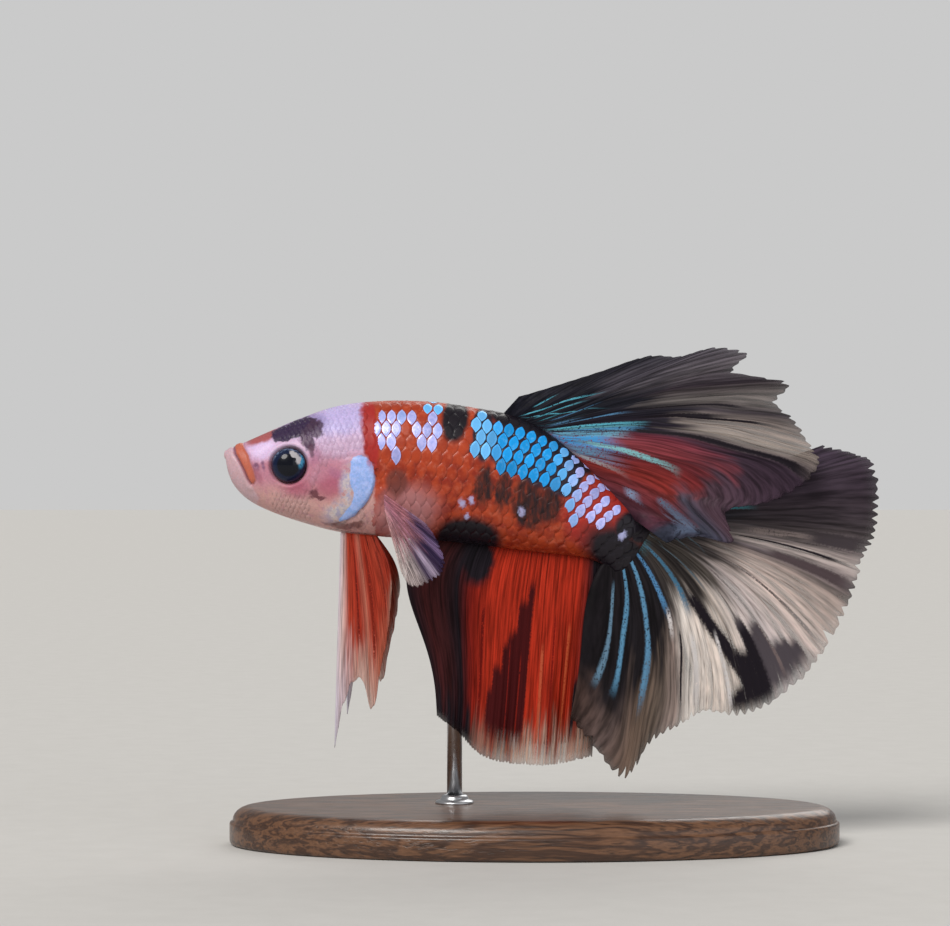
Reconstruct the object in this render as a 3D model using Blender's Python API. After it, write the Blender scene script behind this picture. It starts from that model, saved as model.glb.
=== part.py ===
"""Halfmoon betta fish, a life-size still model on a display stand.

The fish heads toward -X with its left side toward -Y.  Heights are above the underside of the stand,
and the origin is the middle of that underside.  Lengths in the tables are millimetres.
"""
import bpy
import numpy as np
from math import cos, sin, pi, radians

MM = 0.001
GAP = 0.3                      # between neighbouring pieces

# --- Body -----------------------------------------------------------------------------------
# Ribs from snout to tail base: x and z of the back, x and z of the belly, half of the width.
RIBS = (
    (-34.44, 41.29, -34.44, 40.39, 0.70),
    (-34.07, 41.49, -34.07, 38.71, 1.30),
    (-33.34, 41.80, -33.34, 37.35, 1.80),
    (-31.97, 42.36, -31.97, 36.04, 2.25),
    (-29.77, 43.33, -29.77, 34.91, 2.75),
    (-26.62, 44.65, -26.62, 33.80, 3.40),
    (-22.63, 45.99, -22.63, 32.73, 4.05),
    (-18.32, 46.56, -18.32, 32.17, 4.35),
    (-12.97, 46.50, -13.18, 31.85, 4.35),
    (-8.24, 45.85, -8.98, 31.42, 4.10),
    (-4.36, 45.07, -5.41, 31.00, 3.70),
    (-0.89, 43.44, -2.26, 30.63, 3.25),
    (2.05, 41.13, 0.58, 30.31, 2.75),
    (5.30, 37.87, 3.62, 29.89, 2.10),
    (8.66, 34.41, 5.93, 28.74, 1.30),
)
SNOUT_TIP = (-34.60, 0.0, 40.85)
ROUNDNESS_HEAD = 2.25          # exponent of the cross-section at the snout
ROUNDNESS_TAIL = 1.90          # and at the tail base
RIB_SIDES = 24
HEAD_END = 7.0                 # rib number where the head meets the trunk
TRUNK_END = 12.2               # rib number where the trunk meets the tail stalk

# --- Head -----------------------------------------------------------------------------------
MOUTH_LINE = ((-33.65, 42.39), (-33.44, 41.39), (-33.31, 40.92), (-32.81, 40.08),
              (-32.35, 39.19), (-31.95, 38.24), (-31.78, 37.72))
LIP_REAR = ((-32.60, 42.39), (-32.29, 41.60), (-31.80, 40.81), (-31.61, 40.03),
            (-31.26, 39.13), (-31.03, 38.19), (-31.10, 37.72))
JAW_REAR = ((-31.29, 37.35), (-30.40, 36.09), (-29.35, 34.20))
EYE_CENTRE = (-27.65, 2.60, 39.75)
EYE_RADIUS = 1.85
EYE_DEPTH = 1.30               # half of the eyeball's thickness, across the head
GILL_OUTLINE = ((-20.32, 40.71), (-19.16, 40.29), (-18.64, 38.82), (-19.16, 36.51), (-20.95, 34.41),
                (-23.47, 33.62), (-25.04, 34.62), (-24.83, 36.72), (-23.89, 39.03), (-22.10, 40.39))
GILL_PROUD = 0.16              # how far the gill cover stands out of the head
GILL_INNER = 1.30              # distance of its inner face from the middle of the head

# --- Fins: x and z of the ends of rays, from the front (or top) of each fin ------------------
FIN_BASE_THICKNESS = 0.65
FIN_EDGE_THICKNESS = 0.50

DORSAL_RIBS = (9.72, 13.93)    # the fin grows on the back between these rib numbers
DORSAL_TIPS = ((-3.62, 46.95), (0.79, 48.27), (5.41, 49.74), (9.92, 51.21), (13.28, 51.16), (16.80, 52.05),
               (20.30, 51.40), (19.00, 49.60), (24.60, 48.40), (23.40, 46.30), (25.20, 44.49), (26.72, 41.97),
               (27.77, 39.97), (25.88, 37.56), (22.21, 35.77), (18.10, 34.90), (18.70, 31.70), (15.07, 32.30),
               (11.60, 31.70))
ANAL_RIBS = (8.02, 13.60)
ANAL_TIPS = ((-12.23, 13.41), (-10.24, 11.83), (-8.14, 9.63), (-5.09, 8.37), (-1.94, 8.16),
             (0.89, 8.26), (4.04, 9.10))
CAUDAL_TIPS = ((28.61, 41.86), (31.97, 41.02), (33.86, 39.87), (34.49, 36.09), (34.07, 32.41),
               (32.60, 29.58), (31.45, 25.90), (29.45, 21.60), (26.72, 17.61), (22.84, 14.67),
               (19.16, 13.51), (15.80, 13.83), (13.28, 12.36), (10.13, 10.68), (7.40, 7.00),
               (4.46, 9.84), (1.73, 13.30))
PELVIC_BASE = ((-22.31, 32.10), (-18.63, 31.75))
PELVIC_TIPS = ((-22.84, 10.36), (-21.50, 15.93), (-19.99, 17.19), (-18.85, 14.04), (-17.90, 19.08),
               (-17.27, 22.44), (-16.96, 26.11))
PECTORAL_BASE = ((-17.70, 36.75), (-17.45, 34.60))
PECTORAL_TIPS = ((-13.18, 33.65), (-12.00, 31.80), (-11.29, 29.40), (-12.40, 27.85), (-14.65, 27.16),
                 (-15.80, 28.62))

# --- Stand ----------------------------------------------------------------------------------
BASE_LENGTH = 64.0
BASE_DEPTH = 34.0
BASE_HEIGHT = 4.0
BASE_EDGE = 0.7                # bevel of the upper edge
BASE_CENTRE_X = -2.0
ROD_PLACE = (-10.4, 2.45)      # x and y: just behind the front of the anal fin
ROD_RADIUS = 0.80
ROD_SOCKET_DEPTH = 2.5

# --- Colours (linear) ------------------------------------------------------------------------
PALE_PINK = (0.49, 0.27, 0.30)
LIP_ORANGE = (0.55, 0.16, 0.09)
GILL_BLUE = (0.36, 0.47, 0.80)
BODY_ORANGE = (0.26, 0.035, 0.015)
STALK_BLACK = (0.012, 0.007, 0.011)
EYE_BLACK = (0.005, 0.006, 0.014)
FIN_RED = (0.30, 0.020, 0.010)
FIN_DARK = (0.030, 0.024, 0.034)
FIN_SMOKE = (0.060, 0.050, 0.060)
FIN_ROSE = (0.20, 0.08, 0.11)
WALNUT = (0.10, 0.045, 0.022)
STEEL = (0.55, 0.56, 0.58)


def clear_scene():
    """Take every object and mesh of the start-up file away."""
    for thing in list(bpy.data.objects):
        bpy.data.objects.remove(thing, do_unlink=True)
    for mesh in list(bpy.data.meshes):
        bpy.data.meshes.remove(mesh)


def principled(name, colour, roughness, metallic=0.0):
    """A plain Principled material."""
    material = bpy.data.materials.new(name)
    material.use_nodes = True
    shader = material.node_tree.nodes["Principled BSDF"]
    shader.inputs["Base Color"].default_value = (*colour, 1.0)
    shader.inputs["Roughness"].default_value = roughness
    shader.inputs["Metallic"].default_value = metallic
    material.diffuse_color = (*colour, 1.0)
    return material


def solid(name, points, faces, material, smooth_angle=50.0):
    """One object from points in millimetres and faces, shaded smooth up to an angle."""
    mesh = bpy.data.meshes.new(name)
    mesh.from_pydata([tuple(float(c) * MM for c in p) for p in points], [], faces)
    mesh.validate()
    mesh.materials.append(material)
    mesh.shade_smooth()
    mesh.set_sharp_from_angle(angle=radians(smooth_angle))
    thing = bpy.data.objects.new(name, mesh)
    bpy.context.scene.collection.objects.link(thing)
    return thing


def cut_with(thing, cutter, operation="DIFFERENCE"):
    """Cut one object with another, and keep the cutter out of sight."""
    cutter.hide_render = True
    cutter.display_type = "WIRE"
    modifier = thing.modifiers.new(f"{operation.title()} {cutter.name}", "BOOLEAN")
    modifier.operation = operation
    modifier.solver = "EXACT"
    modifier.object = cutter


def smooth_table(table, place):
    """Read a table of rows at a fractional row number, on a smooth curve through the rows."""
    rows = np.asarray(table, dtype=float)
    last = len(rows) - 1
    place = min(max(place, 0.0), float(last))
    index = min(int(place), last - 1)
    t = place - index
    before = rows[max(index - 1, 0)]
    start, end = rows[index], rows[index + 1]
    after = rows[min(index + 2, last)]
    slope_in = (end - before) * 0.5
    slope_out = (after - start) * 0.5
    return ((2 * t**3 - 3 * t**2 + 1) * start + (t**3 - 2 * t**2 + t) * slope_in
            + (3 * t**2 - 2 * t**3) * end + (t**3 - t**2) * slope_out)


# --- Body surface ----------------------------------------------------------------------------

def body_point(rib, turn, proud=0.0):
    """A point of the body's surface.

    rib is a rib number, and turn goes round from 0 at the back through the left side.
    proud widens the body there, in millimetres.
    """
    back_x, back_z, belly_x, belly_z, half = smooth_table(RIBS, rib)
    share = rib / (len(RIBS) - 1)
    exponent = 2.0 / (ROUNDNESS_HEAD + (ROUNDNESS_TAIL - ROUNDNESS_HEAD) * share)
    upright = np.sign(cos(turn)) * abs(cos(turn)) ** exponent
    aside = np.sign(sin(turn)) * abs(sin(turn)) ** exponent
    down = 0.5 * (1.0 - upright)
    x = back_x + (belly_x - back_x) * down
    z = back_z + (belly_z - back_z) * down
    return (x, -(half + proud) * aside, z)


def belly_height(x, y):
    """Height of the body's underside above a place, found along the ribs and round them."""
    best = None
    for rib in np.linspace(4.0, 13.0, 181):
        for turn in np.linspace(pi * 0.5, pi, 91):
            point = body_point(rib, turn)
            miss = (point[0] - x) ** 2 + (point[1] + abs(y)) ** 2
            if best is None or miss < best[0]:
                best = (miss, point[2])
    return best[1]


def body_length(name, first, last, steps, material, tip=None, proud=0.0):
    """A closed length of the body between two rib numbers, flat at its ends or closed by a tip."""
    points = []
    for rib in np.linspace(first, last, steps + 1):
        for side in range(RIB_SIDES):
            points.append(body_point(rib, 2 * pi * side / RIB_SIDES, proud))
    faces = []
    for ring in range(steps):
        for side in range(RIB_SIDES):
            a = ring * RIB_SIDES + side
            b = ring * RIB_SIDES + (side + 1) % RIB_SIDES
            faces.append((a, b, b + RIB_SIDES, a + RIB_SIDES))
    front = list(range(RIB_SIDES))
    back = [steps * RIB_SIDES + side for side in range(RIB_SIDES)]
    if tip is None:
        faces.append(tuple(reversed(front)))
    else:
        points.append(tip)
        pole = len(points) - 1
        faces.extend((front[(side + 1) % RIB_SIDES], front[side], pole) for side in range(RIB_SIDES))
    faces.append(tuple(back))
    return solid(name, points, faces, material)


def prism(name, outline, y_near, y_far):
    """A cutter: an outline in the side view, given as x and z, carried from one y to another."""
    count = len(outline)
    area = sum(outline[i][0] * outline[(i + 1) % count][1] - outline[(i + 1) % count][0] * outline[i][1]
               for i in range(count))
    ring = list(outline) if area > 0 else list(reversed(outline))
    low, high = min(y_near, y_far), max(y_near, y_far)
    points = [(x, low, z) for x, z in ring] + [(x, high, z) for x, z in ring]
    faces = [tuple(range(count)), tuple(range(2 * count - 1, count - 1, -1))]
    for i in range(count):
        j = (i + 1) % count
        faces.append((i, i + count, j + count, j))
    return solid(name, points, faces, principled(name, PALE_PINK, 0.5))


def shifted(line, dx):
    """The same line moved along X."""
    return [(x + dx, z) for x, z in line]


def rounded(outline, per_span=3):
    """A closed outline through the given points, with smooth points added between them."""
    count = len(outline)
    table = [outline[(i - 1) % count] for i in range(count + 3)]
    return [tuple(smooth_table(table, 1 + i / per_span)) for i in range(count * per_span)]


def grown(outline, margin):
    """A closed outline made larger round its middle by about the margin."""
    points = np.asarray(outline)
    middle = points.mean(axis=0)
    reach = np.linalg.norm(points - middle, axis=1).mean()
    return [tuple(middle + (p - middle) * (1 + margin / reach)) for p in points]


def ball(name, centre, radii, material, rings=8, sides=18):
    """A closed ball with its poles along Y."""
    points = []
    for ring in range(1, rings):
        tilt = pi * ring / rings
        for side in range(sides):
            turn = 2 * pi * side / sides
            points.append((centre[0] + radii[0] * sin(tilt) * cos(turn), centre[1] - radii[1] * cos(tilt),
                           centre[2] + radii[2] * sin(tilt) * sin(turn)))
    points.append((centre[0], centre[1] - radii[1], centre[2]))
    points.append((centre[0], centre[1] + radii[1], centre[2]))
    near, far = len(points) - 2, len(points) - 1
    faces = []
    for side in range(sides):
        following = (side + 1) % sides
        faces.append((near, side, following))
        for ring in range(rings - 2):
            a, b = ring * sides + side, ring * sides + following
            faces.append((a, a + sides, b + sides, b))
        last = (rings - 2) * sides
        faces.append((last + following, last + side, far))
    return solid(name, points, faces, material)


def build_head():
    """Head, upper lip, lower jaw, eyes and gill covers, parted from one shape by thin cuts."""
    skin = principled("head_skin", PALE_PINK, 0.35)
    half = GAP / 2
    beyond = 12.0              # how far the cutters reach past the body
    head = body_length("head", 0.0, HEAD_END, 15, skin, tip=SNOUT_TIP)
    jaw = body_length("lower_jaw", 0.0, 5.0, 11, skin, tip=SNOUT_TIP)
    lip = body_length("upper_lip", 0.0, 5.0, 11, principled("lip_skin", LIP_ORANGE, 0.35), tip=SNOUT_TIP)

    front_top, front_low = (-40.0, 44.0), (-40.0, 32.0)
    hinge = (JAW_REAR[0][0] - 0.6, JAW_REAR[0][1] + 0.05)
    jaw_edge = shifted(MOUTH_LINE[:-1], -half) + [hinge] + shifted(JAW_REAR, -half)
    jaw_space = prism("cut_jaw", [front_top, (-33.8, 44.0)] + jaw_edge + [(-29.4, 32.0), front_low],
                      -beyond, beyond)
    lip_edge = shifted(MOUTH_LINE, half) + list(reversed(LIP_REAR))
    lip_space = prism("cut_lip", lip_edge, -beyond, beyond)
    face_edge = shifted(LIP_REAR, GAP) + shifted(JAW_REAR, half)
    face_space = prism("cut_face", [front_top, (-32.3, 44.0)] + face_edge + [(-29.1, 32.0), front_low],
                       -beyond, beyond)
    cut_with(jaw, jaw_space, "INTERSECT")
    cut_with(lip, lip_space, "INTERSECT")
    cut_with(head, face_space)

    eye_finish = principled("eye_black", EYE_BLACK, 0.08)
    cover_finish = principled("gill_blue", GILL_BLUE, 0.35)
    cover_outline = rounded(GILL_OUTLINE)
    for side, sign in (("left", -1), ("right", 1)):
        x, y, z = EYE_CENTRE
        centre = (x, sign * y, z)
        ball(f"eye_{side}", centre, (EYE_RADIUS, EYE_DEPTH, EYE_RADIUS), eye_finish)
        socket = [EYE_RADIUS + GAP, EYE_DEPTH + GAP, EYE_RADIUS + GAP]
        cut_with(head, ball(f"cut_socket_{side}", centre, socket, skin))
        cover = body_length(f"gill_cover_{side}", 3.0, HEAD_END + 1.0, 11, cover_finish, proud=GILL_PROUD)
        kept = prism(f"cut_cover_{side}", cover_outline, sign * GILL_INNER, sign * beyond)
        cut_with(cover, kept, "INTERSECT")
        recess_outline = grown(cover_outline, GAP)
        recess = prism(f"cut_recess_{side}", recess_outline, sign * (GILL_INNER - GAP), sign * beyond)
        cut_with(head, recess)


def build_trunk():
    """Trunk and tail stalk, each closed flat where it meets the next length."""
    rib_step = GAP / 4.6       # ribs are about 4.6 mm apart here
    body_length("trunk", HEAD_END + rib_step, TRUNK_END - rib_step / 2, 13,
                principled("trunk_scales", BODY_ORANGE, 0.38))
    body_length("tail_stalk", TRUNK_END + rib_step / 2, len(RIBS) - 1, 6,
                principled("stalk_scales", STALK_BLACK, 0.38))


# --- Fins --------------------------------------------------------------------------------------

def fin_sheet(name, surface, rays, steps, material):
    """A closed thin solid round a fin's middle surface.

    surface(u, v) gives a point in millimetres: u runs 0 to 1 over the rays, v from base to edge.
    """
    grid = np.array([[surface(i / rays, j / steps) for j in range(steps + 1)] for i in range(rays + 1)])
    across = np.gradient(grid, axis=0)
    along = np.gradient(grid, axis=1)
    normal = np.cross(across, along)
    normal /= np.linalg.norm(normal, axis=2, keepdims=True)
    thickness = np.linspace(FIN_BASE_THICKNESS, FIN_EDGE_THICKNESS, steps + 1)[None, :, None]
    upper, lower = grid + normal * thickness / 2, grid - normal * thickness / 2
    points = np.concatenate([upper.reshape(-1, 3), lower.reshape(-1, 3)])
    offset = (rays + 1) * (steps + 1)
    faces = []
    for i in range(rays):
        for j in range(steps):
            a = i * (steps + 1) + j
            b = a + steps + 1
            faces.append((a, b, b + 1, a + 1))
            faces.append((a + offset, a + 1 + offset, b + 1 + offset, b + offset))
    rim = [i * (steps + 1) for i in range(rays)]
    rim += [rays * (steps + 1) + j for j in range(steps)]
    rim += [i * (steps + 1) + steps for i in range(rays, 0, -1)]
    rim += [j for j in range(steps, 0, -1)]
    for k, a in enumerate(rim):
        b = rim[(k + 1) % len(rim)]
        faces.append((b, a, a + offset, b + offset))
    return solid(name, points, faces, material, smooth_angle=70.0)


def teeth(u, rays, depth):
    """How far a ray reaches: every second ray stands out of the fin's edge."""
    return 1.0 - depth * (round(u * rays) % 2)


def fold(u, v, folds, height, start=0.0):
    """Sideways wave of a fin, growing from its base to its edge."""
    return height * v**1.4 * sin(2 * pi * (folds * u + start))


def early_bow(v):
    """A bow that is 0 at both ends and 1 a quarter of the way along."""
    return v * (1 - v) ** 3 * 256 / 27


def spread(u, tips):
    """The tip for a ray at u."""
    return smooth_table(tips, u * (len(tips) - 1))


def outside_body(rib, turn, distance):
    """x and z of a point that stands clear of the back or belly line at a rib."""
    step = 0.05
    here = np.array(body_point(rib, turn))[[0, 2]]
    ahead = np.array(body_point(rib - step, turn))[[0, 2]]
    behind = np.array(body_point(rib + step, turn))[[0, 2]]
    run = (behind - ahead) / np.linalg.norm(behind - ahead)
    outward = np.array((-run[1], run[0])) * (1 if turn == 0 else -1)
    return here + outward * distance


def build_dorsal():
    """Back fin: its rear part leans to the left, across the upper rays of the tail fin."""
    rays, steps = 36, 6

    def surface(u, v):
        root = outside_body(DORSAL_RIBS[0] + (DORSAL_RIBS[1] - DORSAL_RIBS[0]) * u**0.9, 0, GAP + 0.1)
        tip = root + (spread(u, DORSAL_TIPS) - root) * teeth(u, rays, 0.03)
        x, z = root + (tip - root) * v
        z += 5.0 * u * (1 - u) * v * (1 - v) * 1.6
        lean = -(0.3 + 3.2 * u) * v
        return x, lean + fold(u, v, 2.6, 0.7, 0.1), z

    fin_sheet("dorsal_fin", surface, rays, steps, principled("dorsal_membrane", FIN_DARK, 0.4))


def build_anal():
    """Long fin under the belly, in soft hanging folds."""
    rays, steps = 30, 7
    sweep = 2.6                # how far its front edge bows forward

    def surface(u, v):
        root = outside_body(ANAL_RIBS[0] + (ANAL_RIBS[1] - ANAL_RIBS[0]) * u, pi, GAP + 0.1)
        tip = root + (spread(u, ANAL_TIPS) - root) * teeth(u, rays, 0.02)
        x, z = root + (tip - root) * v
        x -= sweep * (1 - u) ** 3 * early_bow(v)
        lean = u**2 * (0.25 + 0.7 * v)
        return x, lean + fold(u, v, 3.3, 0.75, 0.45), z

    fin_sheet("anal_fin", surface, rays, steps, principled("anal_membrane", FIN_RED, 0.4))


def build_caudal():
    """Tail fin: a wide fan, its top behind the back fin and its lowest lobe before the anal fin."""
    rays, steps = 52, 7
    high, low = np.array(RIBS[-1][0:2]), np.array(RIBS[-1][2:4])
    run = low - high
    away = np.array((-run[1], run[0])) / np.linalg.norm(run) * (GAP + 0.1)

    def surface(u, v):
        root = high + run * (0.08 + 0.88 * u) + away
        tip = root + (spread(u, CAUDAL_TIPS) - root) * teeth(u, rays, 0.035)
        x, z = root + (tip - root) * v
        x -= 0.9 * u**6 * early_bow(v)
        twist = 1.0 - 2.0 * u
        lean = twist * (0.45 + 1.8 * v)
        return x, lean + fold(u, v, 4.2, 0.85, 0.2), z

    fin_sheet("caudal_fin", surface, rays, steps, principled("caudal_membrane", FIN_SMOKE, 0.4))


def build_pelvics():
    """The pair of long narrow fins under the throat, the right one held a little further back."""
    rays, steps = 8, 11
    finish = principled("pelvic_membrane", FIN_RED, 0.4)
    for side, sign, back, shorten in (("left", -1, 0.0, 1.0), ("right", 1, 1.0, 0.86)):

        def surface(u, v, sign=sign, back=back, shorten=shorten):
            front, rear = np.array(PELVIC_BASE[0]), np.array(PELVIC_BASE[1])
            root = front + (rear - front) * u - np.array((0.0, GAP))
            tip = root + (spread(u, PELVIC_TIPS) - root) * shorten
            x, z = root + (tip - root) * v
            x += 0.6 * sin(pi * v) * u + back * v
            y = 1.15 + 2.0 * v + 0.8 * u * v + fold(u, v, 1.0, 0.35)
            return x, sign * y, z

        fin_sheet(f"pelvic_fin_{side}", surface, rays, steps, finish)


def build_pectorals():
    """The pair of short fans behind the gill covers, held out from the body."""
    rays, steps = 12, 5
    finish = principled("pectoral_membrane", FIN_ROSE, 0.4)
    for side, sign in (("left", -1), ("right", 1)):

        def surface(u, v, sign=sign):
            high, low = np.array(PECTORAL_BASE[0]), np.array(PECTORAL_BASE[1])
            root = high + (low - high) * u
            tip = root + (spread(u, PECTORAL_TIPS) - root) * teeth(u, rays, 0.03)
            x, z = root + (tip - root) * v
            y = 4.95 - 0.25 * u + 2.6 * v + fold(u, v, 1.5, 0.25)
            return x, sign * y, z

        fin_sheet(f"pectoral_fin_{side}", surface, rays, steps, finish)


# --- Stand -------------------------------------------------------------------------------------

def build_stand():
    """An oval base with one rod that comes up under the belly."""
    sides = 48
    levels = ((0.0, 0.0), (BASE_HEIGHT - BASE_EDGE, 0.0), (BASE_HEIGHT - BASE_EDGE * 0.29, BASE_EDGE * 0.29),
              (BASE_HEIGHT, BASE_EDGE))
    points = []
    for height, inset in levels:
        for side in range(sides):
            turn = 2 * pi * side / sides
            points.append((BASE_CENTRE_X + (BASE_LENGTH / 2 - inset) * cos(turn),
                           (BASE_DEPTH / 2 - inset) * sin(turn), height))
    faces = [tuple(reversed(range(sides))), tuple(range(3 * sides, 4 * sides))]
    for level in range(3):
        for side in range(sides):
            a = level * sides + side
            b = level * sides + (side + 1) % sides
            faces.append((a, b, b + sides, a + sides))
    base = solid("stand_base", points, faces, principled("walnut", WALNUT, 0.45), smooth_angle=30.0)

    foot = BASE_HEIGHT - ROD_SOCKET_DEPTH
    socket = column("cut_socket_rod", ROD_RADIUS + GAP, foot, lambda x, y: BASE_HEIGHT + 2.0, WALNUT)
    cut_with(base, socket)
    column("stand_rod", ROD_RADIUS, foot + GAP, lambda x, y: belly_height(x, y) - GAP, STEEL, 1.0)


def column(name, radius, low, top_of, colour, metallic=0.0):
    """An upright round bar at the rod's place, its top fitted to a height that varies over it."""
    sides = 20
    ring = [(ROD_PLACE[0] + radius * cos(2 * pi * k / sides), ROD_PLACE[1] + radius * sin(2 * pi * k / sides))
            for k in range(sides)]
    points = [(x, y, low) for x, y in ring] + [(x, y, top_of(x, y)) for x, y in ring]
    points.append((*ROD_PLACE, top_of(*ROD_PLACE)))
    crown = len(points) - 1
    faces = [tuple(reversed(range(sides)))]
    for k in range(sides):
        following = (k + 1) % sides
        faces.append((k, following, following + sides, k + sides))
        faces.append((k + sides, following + sides, crown))
    return solid(name, points, faces, principled(f"{name}_finish", colour, 0.3, metallic), smooth_angle=40.0)


def main():
    """Build the fish and its stand."""
    clear_scene()
    build_head()
    build_trunk()
    build_dorsal()
    build_anal()
    build_caudal()
    build_pelvics()
    build_pectorals()
    build_stand()


main()
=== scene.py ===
"""Looks of a halfmoon betta fish: skin, scales, eyes and rayed fins, and the stand that carries it."""
import logging
import math
from dataclasses import dataclass, field
from enum import Enum
from typing import Callable, Sequence

import bpy
import numpy as np
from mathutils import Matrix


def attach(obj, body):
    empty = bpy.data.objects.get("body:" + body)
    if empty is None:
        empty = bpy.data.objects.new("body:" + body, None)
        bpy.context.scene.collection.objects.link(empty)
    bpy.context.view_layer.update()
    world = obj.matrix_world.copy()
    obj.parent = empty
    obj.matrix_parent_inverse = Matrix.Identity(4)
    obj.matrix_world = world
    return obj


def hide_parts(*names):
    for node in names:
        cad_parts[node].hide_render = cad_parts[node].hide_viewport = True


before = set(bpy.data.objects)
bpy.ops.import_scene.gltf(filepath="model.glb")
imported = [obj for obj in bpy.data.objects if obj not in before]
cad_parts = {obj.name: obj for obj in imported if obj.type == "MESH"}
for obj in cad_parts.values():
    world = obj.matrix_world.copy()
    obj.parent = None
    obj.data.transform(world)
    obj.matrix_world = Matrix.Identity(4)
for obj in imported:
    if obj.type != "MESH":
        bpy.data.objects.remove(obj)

MM = 0.001
Colour = tuple[float, float, float]
Place = tuple[float, float]
Line = tuple[Place, ...]
log = logging.getLogger("betta")


# --- Curves and distances in the side view ---

def smooth_rows(table: Sequence[Sequence[float]], place: np.ndarray) -> np.ndarray:
    """Read a table of rows at fractional row numbers, on a smooth curve through the rows.

    Args:
        table: The rows.
        place: Row numbers, an array of any shape.

    Returns:
        The values, with one more axis than place.
    """
    rows = np.asarray(table, dtype=float)
    last = len(rows) - 1
    place = np.clip(np.asarray(place, dtype=float), 0.0, last)
    index = np.minimum(place.astype(int), last - 1)
    t = (place - index)[..., None]
    before, start = rows[np.maximum(index - 1, 0)], rows[index]
    end, after = rows[index + 1], rows[np.minimum(index + 2, last)]
    slope_in, slope_out = (end - before) * 0.5, (after - start) * 0.5
    return ((2 * t**3 - 3 * t**2 + 1) * start + (t**3 - 2 * t**2 + t) * slope_in
            + (3 * t**2 - 2 * t**3) * end + (t**3 - t**2) * slope_out)


def rise(value: np.ndarray, low: float, high: float) -> np.ndarray:
    """A smooth step from 0 at low to 1 at high, which also works downwards.

    Args:
        value: What is compared.
        low: Where the step is 0.
        high: Where the step is 1.

    Returns:
        The step, between 0 and 1.
    """
    t = np.clip((value - low) / (high - low), 0.0, 1.0)
    return t * t * (3.0 - 2.0 * t)


def hump(distance: np.ndarray, width: float) -> np.ndarray:
    """A bell that is 1 at distance 0 and fades over a width."""
    return np.exp(-(distance / width) ** 2)


def distance_to(points: np.ndarray, line: Line) -> np.ndarray:
    """Distance from points to an open line.

    Args:
        points: Places as x and z in the last axis.
        line: The line's points.

    Returns:
        The distances.
    """
    best = np.full(points.shape[:-1], np.inf)
    for first, second in zip(line[:-1], line[1:]):
        start, run = np.array(first), np.subtract(second, first)
        share = np.clip(((points - start) @ run) / (run @ run), 0.0, 1.0)
        best = np.minimum(best, np.linalg.norm(points - (start + share[..., None] * run), axis=-1))
    return best


def depth_inside(points: np.ndarray, outline: Line) -> np.ndarray:
    """How deep points lie inside a closed outline, negative outside it.

    Args:
        points: Places as x and z in the last axis.
        outline: The outline's corners.

    Returns:
        The signed depths.
    """
    within = np.zeros(points.shape[:-1], dtype=bool)
    x, z = points[..., 0], points[..., 1]
    closed = tuple(outline) + (outline[0],)
    for (ax, az), (bx, bz) in zip(closed[:-1], closed[1:]):
        if az == bz:
            continue
        crosses = (az > z) != (bz > z)
        within ^= crosses & (x < (bx - ax) * (z - az) / (bz - az) + ax)
    depth = distance_to(points, closed)
    return np.where(within, depth, -depth)


def rounded(outline: Line, per_span: int = 5) -> Line:
    """A closed outline through the given points with smooth points between them.

    Args:
        outline: The given points.
        per_span: How many points each span gets.

    Returns:
        The outline.
    """
    count = len(outline)
    table = [outline[(i - 1) % count] for i in range(count + 3)]
    places = 1 + np.arange(count * per_span) / per_span
    return tuple((float(x), float(z)) for x, z in smooth_rows(table, places))


# --- Mesh making ---

def add_object(name: str, data: bpy.types.ID) -> bpy.types.Object:
    """A new object in the scene, at the origin.

    Args:
        name: The object's name.
        data: Its mesh, light or camera.

    Returns:
        The object.
    """
    thing = bpy.data.objects.new(name, data)
    bpy.context.scene.collection.objects.link(thing)
    return thing


def add_mesh(name: str, points: np.ndarray, faces: Sequence[Sequence[int]],
             material: bpy.types.Material) -> bpy.types.Object:
    """A smooth-shaded object from points in millimetres.

    Args:
        name: The object's name.
        points: Vertices, in millimetres.
        faces: Corner numbers of each face.
        material: The finish.

    Returns:
        The new object, at the origin.
    """
    mesh = bpy.data.meshes.new(name)
    mesh.from_pydata((np.asarray(points, dtype=float) * MM).tolist(), [], faces)
    mesh.materials.append(material)
    mesh.shade_smooth()
    return add_object(name, mesh)


def add_values(mesh: bpy.types.Mesh, name: str, values: np.ndarray) -> None:
    """Store one number or one vector for each vertex, under a name that finishes read.

    Args:
        mesh: The mesh.
        name: The attribute's name.
        values: One row for each vertex.
    """
    values = np.asarray(values, dtype=np.float32)
    kind, key = ("FLOAT_VECTOR", "vector") if values.ndim == 2 else ("FLOAT", "value")
    mesh.attributes.new(name, kind, "POINT").data.foreach_set(key, values.ravel())


def add_map(mesh: bpy.types.Mesh, name: str, places: np.ndarray) -> None:
    """Add a UV map from one place for each face corner.

    Args:
        mesh: The mesh.
        name: The map's name.
        places: The places.
    """
    layer = mesh.uv_layers.new(name=name)
    layer.data.foreach_set("uv", np.asarray(places, dtype=np.float32).ravel())


def corner_vertices(mesh: bpy.types.Mesh) -> np.ndarray:
    """The vertex number of each face corner.

    Args:
        mesh: The mesh.

    Returns:
        The numbers.
    """
    corners = np.empty(len(mesh.loops), dtype=np.int32)
    mesh.loops.foreach_get("vertex_index", corners)
    return corners


def corner_values(mesh: bpy.types.Mesh, name: str) -> np.ndarray:
    """Read what add_values stored.

    Args:
        mesh: The mesh.
        name: The attribute's name.

    Returns:
        One row of values for each face corner.
    """
    stored = mesh.attributes[name]
    wide, key = (3, "vector") if stored.data_type == "FLOAT_VECTOR" else (1, "value")
    values = np.empty(len(mesh.vertices) * wide, dtype=np.float32)
    stored.data.foreach_get(key, values)
    return values.reshape(-1, wide)[corner_vertices(mesh)]


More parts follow.
